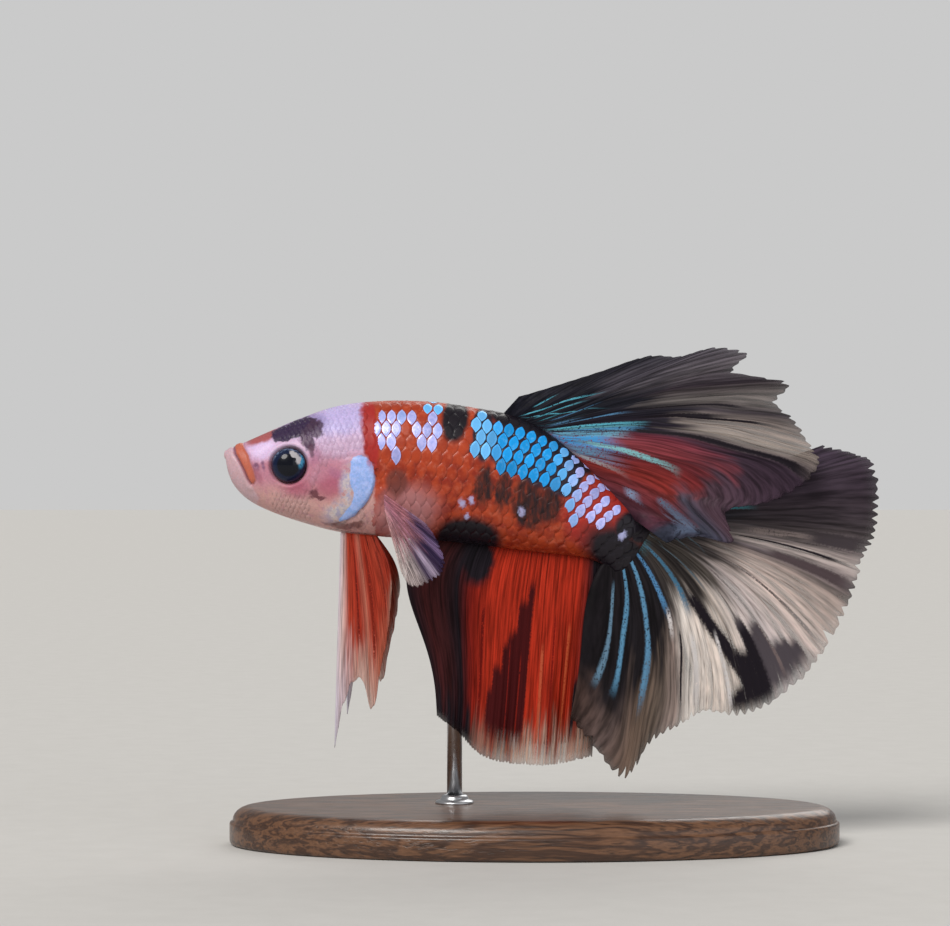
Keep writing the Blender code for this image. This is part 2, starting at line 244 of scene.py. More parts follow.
def dress(piece: bpy.types.Object, slot: str, *nodes: str) -> bpy.types.Object:
    """Let a piece ride on the root body and hide the solids that it replaces.

    Args:
        piece: The piece.
        slot: The name of its finish; not used.
        *nodes: The solids that it replaces.

    Returns:
        The piece.
    """
    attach(piece, "root")
    if nodes:
        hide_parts(*nodes)
    return piece


def tube_grid(rows: int, columns: int, ring: bool = False) -> list[tuple[int, ...]]:
    """Faces of a grid whose columns close round on themselves.

    Args:
        rows: How many rows of points there are.
        columns: How many points a row has.
        ring: Whether the last row joins the first.

    Returns:
        The corner numbers of each face.
    """
    faces = []
    for row in range(rows if ring else rows - 1):
        start, end = row * columns, (row + 1) % rows * columns
        for k in range(columns):
            following = (k + 1) % columns
            faces.append((start + k, start + following, end + following, end + k))
    return faces


def capped_tube(rows: int, columns: int) -> list[tuple[int, ...]]:
    """Faces of a tube closed by two more points, which follow the grid's own.

    Args:
        rows: How many rows of points there are.
        columns: How many points a row has.

    Returns:
        The corner numbers of each face.
    """
    faces = tube_grid(rows, columns)
    near, last = rows * columns, (rows - 1) * columns
    for k in range(columns):
        following = (k + 1) % columns
        faces.append((near, following, k))
        faces.append((near + 1, last + k, last + following))
    return faces


def oval(sides: int, x: float, y: float, half_x: float, half_y: float, z: float = 0.0) -> np.ndarray:
    """Points round a level oval.

    Args:
        sides: How many points there are.
        x: Its middle along the body.
        y: Its middle across the body.
        half_x: Half of its length.
        half_y: Half of its width.
        z: Its height.

    Returns:
        The points.
    """
    turn = 2.0 * np.pi * np.arange(sides) / sides
    return np.stack([x + half_x * np.cos(turn), y + half_y * np.sin(turn), np.full(sides, z)], axis=-1)


def grid_normals(grid: np.ndarray, wraps: bool = False) -> np.ndarray:
    """Unit normals of a grid of points, along rows crossed with along columns.

    Args:
        grid: Points in rows and columns.
        wraps: Whether the columns close round on themselves.

    Returns:
        One normal for each point.
    """
    down = np.gradient(grid, axis=0)
    if wraps:
        across = np.roll(grid, -1, axis=1) - np.roll(grid, 1, axis=1)
    else:
        across = np.gradient(grid, axis=1)
    normal = np.cross(down, across)
    return normal / np.maximum(np.linalg.norm(normal, axis=-1, keepdims=True), 1e-9)


# --- Shader arithmetic ---

def arithmetic(operation: str, swapped: bool = False) -> "Callable[..., Wire]":
    """A method of Wire that adds a Math node.

    Args:
        operation: The node's operation.
        swapped: Whether the other value comes first.

    Returns:
        The method.
    """
    def method(self: "Wire", other: "Wire | float" = 0.0) -> "Wire":
        """The wire of the result."""
        first, second = (other, self) if swapped else (self, other)
        return self.recipe.node("ShaderNodeMath", {"operation": operation}, {0: first, 1: second})

    return method


class Wire:
    """One output of a finish's nodes, which takes part in arithmetic with numbers and other wires."""

    def __init__(self, recipe: "Recipe", socket: bpy.types.NodeSocket) -> None:
        """Keep the socket and the recipe that it belongs to."""
        self.recipe = recipe
        self.socket = socket

    __add__ = __radd__ = arithmetic("ADD")
    __mul__ = __rmul__ = arithmetic("MULTIPLY")
    __sub__, __rsub__ = arithmetic("SUBTRACT"), arithmetic("SUBTRACT", swapped=True)
    __truediv__, __pow__, __abs__ = arithmetic("DIVIDE"), arithmetic("POWER"), arithmetic("ABSOLUTE")
    most, least = arithmetic("MAXIMUM"), arithmetic("MINIMUM")
    turn, root = arithmetic("FRACT"), arithmetic("SQRT")

    def ramp(self, low: float, high: float, bottom: float = 0.0, top: float = 1.0) -> "Wire":
        """A smooth step between two values, which also works downwards."""
        return self.recipe.node("ShaderNodeMapRange", {"interpolation_type": "SMOOTHSTEP"},
                                {0: self, 1: low, 2: high, 3: bottom, 4: top})


@dataclass(frozen=True)
class Patch:
    """An oval patch of colour in the side view, in millimetres, its turn in degrees counter-clockwise."""

    x: float
    z: float
    half_length: float
    half_height: float
    turn: float = 0.0
    soft: float = 0.25


@dataclass(frozen=True)
class Streak:
    """A streak along a fin's rays: its ray at the root and at the tip, width and reach, all as shares."""

    ray: float
    ray_out: float
    half: float
    start: float
    end: float
    colour: Colour
    torn: bool = True


def wedge(first: float, last: float, half: float, start: float, late: float, end: float,
          colour: Colour) -> tuple[Streak, ...]:
    """Solid streaks side by side whose starts are staggered into a ragged wedge.

    Args:
        first: Ray of the streak that starts first.
        last: Ray of the streak that starts last.
        half: Half width of a streak, which is also their distance.
        start: Where the first one starts, as a share of the fin's height.
        late: Where the last one starts.
        end: Where they end.
        colour: Their colour.

    Returns:
        The streaks, from the first to the last.
    """
    count = round(abs(last - first) / half) + 1
    streaks = []
    for k in range(count):
        share = k / (count - 1)
        ray = first + (last - first) * share
        begins = start + (late - start) * share + 0.04 * math.sin(2.4 * k)
        streaks.append(Streak(ray, ray - 0.015, half, begins, end + 0.02 * math.sin(3.1 * k), colour, False))
    return tuple(streaks)


# Stops of a colour ramp: each a place, red, green, blue and, where it isn't 1, alpha.
Stops = tuple[tuple[float, ...], ...]


class Recipe:
    """The node tree of one finish, which feeds a Principled shader."""

    def __init__(self, name: str) -> None:
        """Start a material with its shader.

        Args:
            name: The material's name.
        """
        self.material = bpy.data.materials.new(name)
        self.material.use_nodes = True
        self.tree = self.material.node_tree
        self.shader = self.tree.nodes["Principled BSDF"]

    def node(self, kind: str, settings: dict | None = None, inputs: dict | None = None,
             out: int | str = 0) -> Wire:
        """Add a node.

        Args:
            kind: The node's type.
            settings: Its properties, set first; "stops" fills a colour ramp.
            inputs: Values or wires of its sockets, by number or name.
            out: Which output is wanted.

        Returns:
            The wire of that output.
        """
        made = self.tree.nodes.new(kind)
        for key, value in (settings or {}).items():
            if key == "stops":
                self._fill_ramp(made.color_ramp, value)
            else:
                setattr(made, key, value)
        for key, value in (inputs or {}).items():
            self.feed(made.inputs[key], value)
        return Wire(self, made.outputs[out])

    @staticmethod
    def _fill_ramp(ramp: bpy.types.ColorRamp, stops: Stops) -> None:
        """Set a colour ramp's stops.

        Args:
            ramp: The ramp.
            stops: Its stops, in order.
        """
        while len(ramp.elements) > 1:
            ramp.elements.remove(ramp.elements[-1])
        for number, (place, *colour) in enumerate(stops):
            element = ramp.elements[0] if number == 0 else ramp.elements.new(place)
            element.position = place
            element.color = (*colour, 1.0)[:4]

    def feed(self, socket: bpy.types.NodeSocket, value: "Wire | Paint | float | Sequence[float]") -> None:
        """Link a wire to a socket, or set the socket's own value.

        Args:
            socket: The socket.
            value: The wire, or the value.
        """
        if isinstance(value, Wire):
            self.tree.links.new(value.socket, socket)
        elif socket.type == "RGBA":
            socket.default_value = (*(value.value if isinstance(value, Paint) else value), 1.0)
        else:
            socket.default_value = value

    def finish(self, **sockets: "Wire | float | Colour") -> bpy.types.Material:
        """Feed the shader and hand over the material.

        Args:
            **sockets: Values or wires by their sockets' names, with underscores for spaces.

        Returns:
            The material.
        """
        for name, value in sockets.items():
            self.feed(self.shader.inputs[name.replace("_", " ")], value)
        return self.material

    def vector(self, operation: str, first: "Wire | Sequence[float]",
               second: "Wire | Sequence[float] | None" = None, scale: "Wire | float | None" = None,
               out: int = 0) -> Wire:
        """A Vector Math node."""
        inputs = {key: value for key, value in {0: first, 1: second, 3: scale}.items() if value is not None}
        return self.node("ShaderNodeVectorMath", {"operation": operation}, inputs, out)

    def millimetres(self) -> Wire:
        """The place on the piece, in millimetres."""
        return self.vector("SCALE", self.node("ShaderNodeTexCoord", out="Object"), scale=1.0 / MM)

    def stored(self, name: str, vector: bool = False) -> Wire:
        """A value that the mesh stores for each vertex."""
        return self.node("ShaderNodeAttribute", {"attribute_name": name}, out="Vector" if vector else "Fac")

    def parts(self, vector: Wire) -> tuple[Wire, Wire, Wire]:
        """The three parts of a vector."""
        split = self.node("ShaderNodeSeparateXYZ", None, {0: vector})
        return tuple(Wire(self, out) for out in split.socket.node.outputs)

    def noise(self, at: Wire, size: float, detail: float = 2.0, rough: float = 0.5,
              stretch: Sequence[float] = (1.0, 1.0, 1.0)) -> Wire:
        """Noise whose features have about a size in millimetres, drawn out along some axes.

        Args:
            at: The place.
            size: Size of its features.
            detail: The node's detail.
            rough: The node's roughness.
            stretch: How far each axis is drawn out.

        Returns:
            The noise.
        """
        if tuple(stretch) != (1.0, 1.0, 1.0):
            at = self.vector("DIVIDE", at, stretch)
        return self.node("ShaderNodeTexNoise", None,
                         {"Vector": at, "Scale": 1.0 / size, "Detail": detail, "Roughness": rough})

    def ragged(self, at: Wire, size: float, reach: float, detail: float = 3.0) -> Wire:
        """The same place, shifted about by noise, so that what is drawn there gets ragged edges.

        Args:
            at: The place.
            size: Size of the noise's features.
            reach: The largest shift.
            detail: The noise's detail.

        Returns:
            The shifted place.
        """
        shift = self.node("ShaderNodeTexNoise", None,
                          {"Vector": at, "Scale": 1.0 / size, "Detail": detail}, "Color")
        centred = self.vector("SUBTRACT", shift, (0.5, 0.5, 0.5))
        return self.vector("ADD", at, self.vector("SCALE", centred, scale=2.0 * reach))

    def patch(self, at: Wire, patch: Patch) -> Wire:
        """How far a place lies within an oval patch, from 0 outside to 1 inside.

        Args:
            at: The place.
            patch: The patch.

        Returns:
            The share.
        """
        far = 1000.0                 # the patch runs through from one side of the fish to the other
        turn = (0.0, -math.radians(patch.turn), 0.0)
        local = self.node("ShaderNodeMapping", {"vector_type": "TEXTURE"}, {
            "Vector": at, "Location": (patch.x, 0.0, patch.z), "Rotation": turn,
            "Scale": (patch.half_length, far, patch.half_height)})
        distance = self.vector("LENGTH", local, out=1)
        return distance.ramp(1.0 + patch.soft, 1.0 - patch.soft)

    def patches(self, at: Wire, several: Sequence[Patch]) -> Wire:
        """The union of several patches.

        Args:
            at: The place.
            several: The patches.

        Returns:
            How far a place lies in any of them.
        """
        mask = self.patch(at, several[0])
        for one in several[1:]:
            mask = mask.most(self.patch(at, one))
        return mask

    def blend(self, first: "Wire | Paint | Colour", second: "Wire | Paint | Colour",
              share: "Wire | float") -> Wire:
        """Mix two colours."""
        return self.node("ShaderNodeMix", {"data_type": "RGBA"}, {0: share, 6: first, 7: second}, out=2)

    def layers(self, colour: "Wire | Paint | Colour",
               *over: "tuple[Wire | Paint | Colour, Wire | float]") -> Wire:
        """Lay tints over a colour, one after another.

        Args:
            colour: The colour below.
            *over: Each tint with its share.

        Returns:
            The colour on top.
        """
        for tint, share in over:
            colour = self.blend(colour, tint, share)
        return colour

    def shade(self, colour: "Wire | Colour", factor: "Wire | float") -> Wire:
        """A colour made lighter or darker by a factor."""
        return self.vector("SCALE", colour, scale=factor)

    def bump(self, height: Wire, depth: float, strength: float = 1.0) -> Wire:
        """A normal from a height between 0 and 1, whose full depth is given in millimetres."""
        return self.node("ShaderNodeBump", None,
                         {"Strength": strength, "Distance": depth * MM, "Height": height})


# --- Colours and markings ---

class Paint(Enum):
    """The fish's own colours, linear."""

    ORANGE = (0.44, 0.055, 0.016)
    DEEP_ORANGE = (0.27, 0.024, 0.01)
    SHOULDER_RED = (0.4, 0.024, 0.02)
    FLESH = (0.52, 0.24, 0.25)
    BROWN = (0.055, 0.014, 0.012)
    WARM_BROWN = (0.15, 0.04, 0.032)
    BLACK = (0.011, 0.008, 0.013)
    SOOT = (0.03, 0.016, 0.03)
    BLUE = (0.01, 0.33, 0.82)
    SKY = (0.16, 0.52, 0.98)
    LILAC = (0.54, 0.54, 0.98)
    PALE_LILAC = (0.39, 0.44, 0.88)


ORANGE_GROUNDS = (Patch(-15.7, 34.6, 3.4, 2.7, 20, 0.5),)
SHOULDER = (Patch(-19.2, 43.4, 0.85, 3.7, 8, 0.2),)
BLACK_GROUNDS = (
    Patch(-10.3, 44.6, 1.35, 2.5, -8, 0.2), Patch(-7.0, 46.2, 1.6, 0.7, -10, 0.2),
    Patch(-3.2, 44.4, 4.2, 1.5, -19, 0.2), Patch(1.6, 41.2, 3.6, 1.25, -41, 0.2),
    Patch(-9.0, 31.6, 3.6, 2.7, -10, 0.2), Patch(6.9, 30.4, 4.2, 2.6, -32, 0.35),
    Patch(7.9, 33.4, 1.4, 2.2, -40, 0.3), Patch(9.4, 32.9, 1.3, 1.8, -40, 0.3),
)
BLUE_FIELD = (
    Patch(-7.35, 43.0, 1.15, 2.9, 0, 0.12), Patch(-4.5, 41.8, 2.6, 2.5, -10, 0.12),
    Patch(-1.0, 40.0, 2.9, 2.6, -30, 0.12), Patch(1.2, 38.6, 1.9, 2.2, -30, 0.12),
)
PALE_FIELD = (Patch(3.4, 36.3, 2.5, 3.0, -40, 0.1), Patch(5.4, 35.1, 1.6, 1.7, -40, 0.1),
              Patch(1.7, 35.6, 1.1, 1.7, 0, 0.1), Patch(2.7, 39.2, 1.2, 1.9, -40, 0.1),
              Patch(6.9, 32.6, 0.55, 0.6, 0, 0.1))
BROWN_GROUNDS = (Patch(-7.3, 37.6, 0.95, 2.0, -12, 0.3), Patch(-5.3, 37.2, 0.9, 2.1, -8, 0.3),
                 Patch(-2.3, 36.0, 2.2, 2.9, -8, 0.25), Patch(-0.6, 35.4, 1.3, 1.9, -10, 0.3))
LILAC_CLUSTERS = (Patch(-17.1, 43.6, 1.65, 2.0, -15, 0.1), Patch(-16.6, 40.9, 0.55, 1.1, 0, 0.1),
                  Patch(-14.3, 43.5, 0.65, 2.1, 10, 0.1), Patch(-13.0, 43.1, 0.85, 2.1, -12, 0.1))
SKY_CLUSTER = (Patch(-12.4, 46.0, 1.0, 0.55, 0, 0.1),)
FLECKS = (Patch(-9.6, 35.8, 0.33, 0.42, 20, 0.6), Patch(-9.1, 34.4, 0.28, 0.3, 0, 0.6),
          Patch(-8.6, 36.1, 0.28, 0.36, 0, 0.6), Patch(-3.4, 34.9, 0.3, 0.42, 10, 0.7),
          Patch(7.2, 32.4, 0.35, 0.5, -30, 0.5))


@dataclass(frozen=True)
class BodyMarkings:
    """The pattern of the trunk, the same for the skin and for the scales that stand on it."""

    def ground(self, recipe: Recipe, at: Wire, fine: Wire) -> Wire:
        """The colour under the shine.

        Args:
            recipe: The finish.
            at: The place that decides which patch it is, in millimetres.
            fine: The place that decides the mottling, in millimetres.

        Returns:
            The colour.
        """
        mottle, speck = recipe.noise(fine, 1.3, 3.0), recipe.noise(fine, 0.7, 4.0, 0.6)
        drawn = recipe.noise(fine, 0.55, 3.0, 0.6, (1.0, 1.0, 4.0))
        browned = recipe.patches(recipe.ragged(at, 0.8, 0.45, 4.0), BROWN_GROUNDS)
        height = recipe.parts(at)[2]
        return recipe.layers(
            Paint.DEEP_ORANGE, (Paint.ORANGE, mottle.ramp(0.35, 0.62)),
            (Paint.ORANGE, height.ramp(38.0, 42.0) * 0.5),
            ((0.54, 0.12, 0.065), speck.ramp(0.5, 0.72) * 0.55),
            (Paint.FLESH, recipe.patches(at, ORANGE_GROUNDS) * 0.85),
            (Paint.WARM_BROWN, recipe.patch(at, Patch(-16.4, 38.0, 1.2, 1.4)) * 0.8),
            (Paint.SHOULDER_RED, recipe.patches(at, SHOULDER)),
            (Paint.SHOULDER_RED, recipe.patch(at, Patch(4.6, 34.5, 3.6, 3.6, -40)) * 0.8),
            (Paint.BROWN, browned * drawn.ramp(0.3, 0.55, 0.55, 1.0)),
            (Paint.BLACK, browned * drawn.ramp(0.52, 0.66) * 0.8),
            (Paint.SOOT, recipe.patches(at, BLUE_FIELD)),
            (Paint.BLACK, recipe.patches(at, BLACK_GROUNDS)))

    def shine(self, recipe: Recipe, at: Wire, fine: Wire) -> tuple[Wire, Wire]:
        """The colour of the shining scales, and how far a place shines.

        Args:
            recipe: The finish.
            at: The place that decides which patch it is, in millimetres.
            fine: The place that decides the mottling, in millimetres.

        Returns:
            The colour, and a mask between 0 and 1.
        """
        grain = recipe.noise(fine, 0.35, 3.0)
        along = recipe.parts(at)[0]
        pale = recipe.blend(Paint.PALE_LILAC, Paint.LILAC, grain.ramp(0.35, 0.65))
        colour = recipe.layers(
            Paint.SKY, (Paint.BLUE, along.ramp(-7.2, -5.2)),
            (Paint.SKY, grain.ramp(0.5, 0.75) * 0.45),
            (Paint.SKY, along.ramp(-0.3, 1.2) * 0.8),
            (pale, along.ramp(0.8, 3.2).most(recipe.patches(at, LILAC_CLUSTERS))))
        mask = recipe.patches(at, BLUE_FIELD + PALE_FIELD + LILAC_CLUSTERS + SKY_CLUSTER)
        return colour, mask


class SkinFinish:
    """Skin of the whole body: pink face, lips, gill covers, and the trunk's ground colours."""

    def make(self) -> bpy.types.Material:
        """Build the material.

        Returns:
            The material.
        """
        recipe = Recipe("skin")
        at = recipe.millimetres()
        rough_at = recipe.ragged(at, 0.9, 0.28)
        trunk = BodyMarkings().ground(recipe, recipe.ragged(at, 1.6, 0.35), at)
        face = self._face(recipe, at, rough_at)
        x, _, z = recipe.parts(rough_at)
        front = (x + z.ramp(39.8, 41.2) * 1.1).ramp(-18.45, -18.85)
        shoulder = recipe.patch(recipe.ragged(at, 0.8, 0.55, 4.0), Patch(-19.2, 43.4, 0.8, 3.7, 8, 0.4))
        colour = recipe.layers(trunk, (face, front), (Paint.SHOULDER_RED, shoulder))
        pores = recipe.noise(at, 0.22, 3.0, 0.6)
        lumps = recipe.noise(at, 1.1, 2.0)
        return recipe.finish(
            Base_Color=recipe.shade(colour, pores.ramp(0.2, 0.8, 0.88, 1.1)),
            Roughness=lumps.ramp(0.3, 0.7, 0.34, 0.5),
            Normal=recipe.bump(pores * 0.6 + lumps, 0.05, 0.5),
            Subsurface_Weight=0.12, Subsurface_Radius=(1.0, 0.35, 0.25), Subsurface_Scale=0.0005,
            Specular_IOR_Level=0.25, Coat_Weight=0.05, Coat_Roughness=0.15)

    @staticmethod
    def _face(recipe: Recipe, at: Wire, rough_at: Wire) -> Wire:
        """Colour of the head.

        Args:
            recipe: The finish.
            at: The place on the skin.
            rough_at: The place shifted about, for ragged patches.

        Returns:
            The colour.
        """
        _, _, z = recipe.parts(rough_at)
        lower, cheek, upper = (0.64, 0.36, 0.34), (0.54, 0.23, 0.31), (0.66, 0.44, 0.64)
        vein = recipe.noise(at, 0.9, 4.0, 0.65)
        colour = recipe.layers(lower, (cheek, z.ramp(36.2, 38.8)), (upper, z.ramp(39.6, 42.0)),
                               ((0.5, 0.2, 0.3), vein.ramp(0.52, 0.68) * z.ramp(43.5, 40.5) * 0.45))

        def over(tint: Colour, strength: float, *several: Patch, place: Wire = rough_at) -> None:
            """Lay one more tint over the face."""
            nonlocal colour
            colour = recipe.blend(colour, tint, recipe.patches(place, several) * strength)

        # lilac on the top of the head behind the eyes: the skin's own lilac tint, partly a painted highlight
        # from above
        over((0.56, 0.48, 0.84), 0.85, Patch(-22.4, 44.6, 3.2, 2.0, 12, 0.5))
        over((0.66, 0.44, 0.62), 0.7, Patch(-21.9, 41.8, 2.6, 1.1, 0, 0.5))
        # painted highlight: a lilac gloss on the top of the snout
        over((0.72, 0.55, 0.84), 0.8, Patch(-30.4, 41.4, 1.5, 1.1, 20, 0.5))
        over((0.42, 0.09, 0.16), 0.75, Patch(-23.1, 37.5, 1.9, 1.2, 20, 0.6),
             Patch(-26.6, 37.3, 1.6, 0.9, 0, 0.7))
        over((0.4, 0.15, 0.26), 0.55, Patch(-22.6, 38.9, 0.9, 0.5, -20, 0.5),
             Patch(-24.9, 40.8, 0.7, 0.9, 0, 0.5))
        over((0.38, 0.075, 0.06), 0.92, Patch(-30.5, 42.75, 1.9, 0.6, 24, 0.35))
        sooty, torn = (0.04, 0.02, 0.062), recipe.ragged(at, 0.55, 0.5, 4.0)
        over((0.2, 0.15, 0.36), 0.6, Patch(-26.4, 43.9, 2.6, 1.3, 14, 0.3), place=torn)
        over(sooty, 1.0, Patch(-28.2, 43.05, 1.45, 0.85, 16, 0.12), Patch(-26.3, 43.75, 1.75, 0.95, 16, 0.12),
             place=torn)
        over((0.065, 0.03, 0.065), 0.9, Patch(-25.7, 42.4, 0.65, 1.2, 22, 0.25),
             Patch(-24.9, 43.6, 0.85, 1.0, 20, 0.2), place=torn)
        over((0.12, 0.05, 0.09), 0.8, Patch(-25.25, 41.2, 0.28, 0.8, 14, 0.4), place=torn)
        over((0.12, 0.028, 0.045), 0.85, Patch(-24.95, 36.75, 0.5, 0.5, 0, 0.4),
             Patch(-24.5, 36.4, 0.75, 0.22, -10, 0.4), place=torn)
        # painted shade in the nostril pits
        over((0.2, 0.09, 0.18), 0.75, Patch(-31.05, 39.6, 0.28, 0.42, 10, 0.5),
             Patch(-30.35, 39.7, 0.16, 0.55, 10, 0.5))
        over((0.36, 0.11, 0.16), 0.6, Patch(-30.9, 38.6, 0.35, 0.85, 20, 0.6))
        # along the gill cover's lower edge: dark flecks of the throat, partly painted shade under the cover
        over((0.13, 0.045, 0.045), 0.7, Patch(-22.2, 33.4, 1.5, 0.4, -8, 0.4),
             Patch(-20.6, 33.5, 0.9, 0.4, 10, 0.4), place=torn)
        mottle, blotch = recipe.noise(at, 0.55, 3.0, 0.6), recipe.noise(at, 1.1, 4.0, 0.65)
        low_edge = recipe.patches(rough_at, (Patch(-22.2, 35.0, 1.8, 1.0, 24, 0.6),
                                             Patch(-21.5, 37.4, 0.75, 2.3, -4, 0.6)))
        cream = recipe.blend((0.66, 0.6, 0.6), (0.44, 0.42, 0.58), mottle.ramp(0.42, 0.62))
        blue = recipe.blend((0.44, 0.56, 0.98), (0.3, 0.46, 0.88), mottle.ramp(0.35, 0.65))
        shine = (recipe.stored("crescent") + (blotch - 0.5) * 1.5).ramp(0.42, 0.58)
        jaw = recipe.blend((0.62, 0.46, 0.54), (0.6, 0.38, 0.38), mottle)
        return recipe.layers(
            colour, (cream, low_edge * blotch.ramp(0.3, 0.48) * 0.9), (blue, shine),
            (jaw, recipe.stored("jaw") * 0.85), ((0.54, 0.14, 0.085), recipe.stored("lip")),
            # painted highlight: pale upper half of the raised rim round each eye
            ((0.66, 0.54, 0.72), recipe.stored("orbit") * z.ramp(39.8, 41.0) * 0.5),
            # painted shade in the mouth line, behind the lips and under the gill cover's free edge
            ((0.16, 0.035, 0.03), recipe.stored("crease") * 0.75))


class ScaleFinish:
    """Scales: each has one ground colour, a shining middle where the markings shine, and a dark rim."""

    def make(self) -> bpy.types.Material:
        """Build the material.

        Returns:
            The material.
        """
        recipe = Recipe("scales")
        at = recipe.millimetres()
        root = recipe.vector("SCALE", recipe.stored("scale_root", vector=True), scale=1.0 / MM)
        marks = BodyMarkings()
        decided = recipe.ragged(root, 1.1, 0.3)
        ground = marks.ground(recipe, recipe.ragged(at, 1.6, 0.35), at)
        ground = recipe.blend(ground, Paint.SOOT, recipe.patches(decided, BLUE_FIELD).ramp(0.4, 0.6) * 0.9)
        shine, mask = marks.shine(recipe, decided, at)
        leaf = recipe.stored("leaf", vector=True)
        along, across, _ = recipe.parts(leaf)
        edge = (recipe.noise(at, 0.25, 2.0) - 0.5) * 0.08
        own = ScaleCoat.reach(along, across)
        tone = recipe.stored("tone")
        flecks = recipe.patches(recipe.ragged(at, 0.35, 0.4), FLECKS)
        shining = mask.ramp(0.47, 0.53)
        strength = shining * (own + edge).ramp(0.96, 0.86)
        rim = recipe.shade(ground, (tone * 0.3 + 0.7) * (1.0 - shining * 0.25))
        shine = recipe.blend(shine, recipe.shade(shine, 1.25), own.ramp(0.45, 0.85))
        colour = recipe.layers(rim, (recipe.shade(shine, tone), strength), ((0.5, 0.52, 0.85), flecks * 0.8))
        grooves = recipe.noise(leaf, 0.1, 2.0, 0.5, (1.0, 4.0, 1.0))
        return recipe.finish(
            Base_Color=colour,
            Roughness=strength.ramp(0.0, 1.0, 0.34, 0.26),
            Metallic=strength * 0.15,
            Normal=recipe.bump(grooves, 0.02, 0.4),
            Specular_IOR_Level=0.25, Coat_Weight=0.08, Coat_Roughness=0.12)


@dataclass(frozen=True)
class FinFinish:
    """Membrane or rays of one fin: colours over the rays near the root and near the edge."""

    name: str
    inner: Stops
    outer: Stops
    change: tuple[float, float]
    streaks: tuple[Streak, ...] = ()
    patches: tuple[tuple[Patch, Colour, float], ...] = ()
    grain: float = 90.0
    contrast: float = 0.9
    hem: tuple[float, float] = (0.9, 0.8)
    late: tuple[float, float, float] = (0.0, 1.0, 0.0)
    ray_shade: tuple[float, float] = (0.45, 0.75)

    def make(self, rays: bool = False) -> bpy.types.Material:
        """Build the material.

        Args:
            rays: Whether it is for the rays, which are darker and let no light through.

        Returns:
            The material.
        """
        recipe = Recipe(f"{self.name}_{'rays' if rays else 'membrane'}")
        fan = recipe.stored("fan", vector=True)
        at = recipe.millimetres()
        u, v, _ = recipe.parts(fan)
        drift = recipe.noise(fan, 0.03, 2.0, 0.5, (1.0, 9.0, 1.0))
        wander = u + (drift - 0.5) * 0.02
        inner, outer = (recipe.node("ShaderNodeValToRGB", {"stops": stops}, {0: wander})
                        for stops in (self.inner, self.outer))
        behind = u.ramp(self.late[0], self.late[1], 0.0, self.late[2])
        share = (v + (drift - 0.5) * 0.55 - behind).ramp(*self.change)
        colour = recipe.blend(inner, outer, share)
        inner, outer = (Wire(recipe, wire.socket.node.outputs["Alpha"]) for wire in (inner, outer))
        alpha = inner + (outer - inner) * share
        lines = recipe.noise(fan, 1.0 / self.grain, 3.0, 0.6, (1.0, 26.0, 1.0))
        for patch, tint, strength in self.patches:
            colour = recipe.blend(colour, tint, recipe.patch(recipe.ragged(at, 1.2, 0.5), patch) * strength)
        low, high = 1.0 - self.contrast * 0.55, 1.0 + self.contrast * 0.55
        colour = recipe.shade(colour, lines.ramp(0.3, 0.7, low, high))
        grit = recipe.noise(at, 0.22, 3.0, 0.65)
        for streak in self.streaks:
            mask = self._streak(recipe, u, v, grit, lines, streak)
            colour = recipe.blend(colour, streak.colour, mask)
            if not streak.torn:
                alpha = alpha.most(mask)
        if rays:
            return recipe.finish(Base_Color=recipe.shade(colour, lines.ramp(0.3, 0.7, *self.ray_shade)),
                                 Roughness=0.45, Normal=recipe.bump(grit, 0.01, 0.3), Specular_IOR_Level=0.06)
        clear = (1.0 - alpha) * lines.ramp(0.3, 0.7, 1.3, 0.7)
        alpha = (1.0 - clear) * v.ramp(self.hem[0], 1.0, 1.0, self.hem[1])
        return recipe.finish(
            Base_Color=colour, Alpha=alpha.most(0.12).least(1.0), Roughness=grit.ramp(0.3, 0.7, 0.4, 0.55),
            Normal=recipe.bump(lines, 0.05, 0.6), Specular_IOR_Level=0.06)

    @staticmethod
    def _streak(recipe: Recipe, u: Wire, v: Wire, grit: Wire, lines: Wire, streak: Streak) -> Wire:
        """How far a place lies on a streak; wide ones are made of fine lines.

        Args:
            recipe: The finish.
            u: Place over the rays.
            v: Place along the rays.
            grit: Fine noise that tears the edges.
            lines: Noise along the rays.
            streak: The streak.

        Returns:
            A mask between 0 and 1.
        """
        centre = v * (streak.ray_out - streak.ray) + streak.ray
        wide = abs(u - centre) + (grit - 0.5) * streak.half * (1.7 if streak.torn else 0.9)
        ends = v.ramp(streak.start - 0.03, streak.start + 0.04) * v.ramp(streak.end + 0.04, streak.end - 0.1)
        mask = wide.ramp(streak.half, streak.half * 0.45) * ends
        if not streak.torn:
            return mask * lines.ramp(0.24, 0.4, 0.45, 1.0)
        return mask * grit.ramp(0.34, 0.48) * (lines.ramp(0.36, 0.5) if streak.half > 0.015 else 1.0)


# --- The fish's body ---

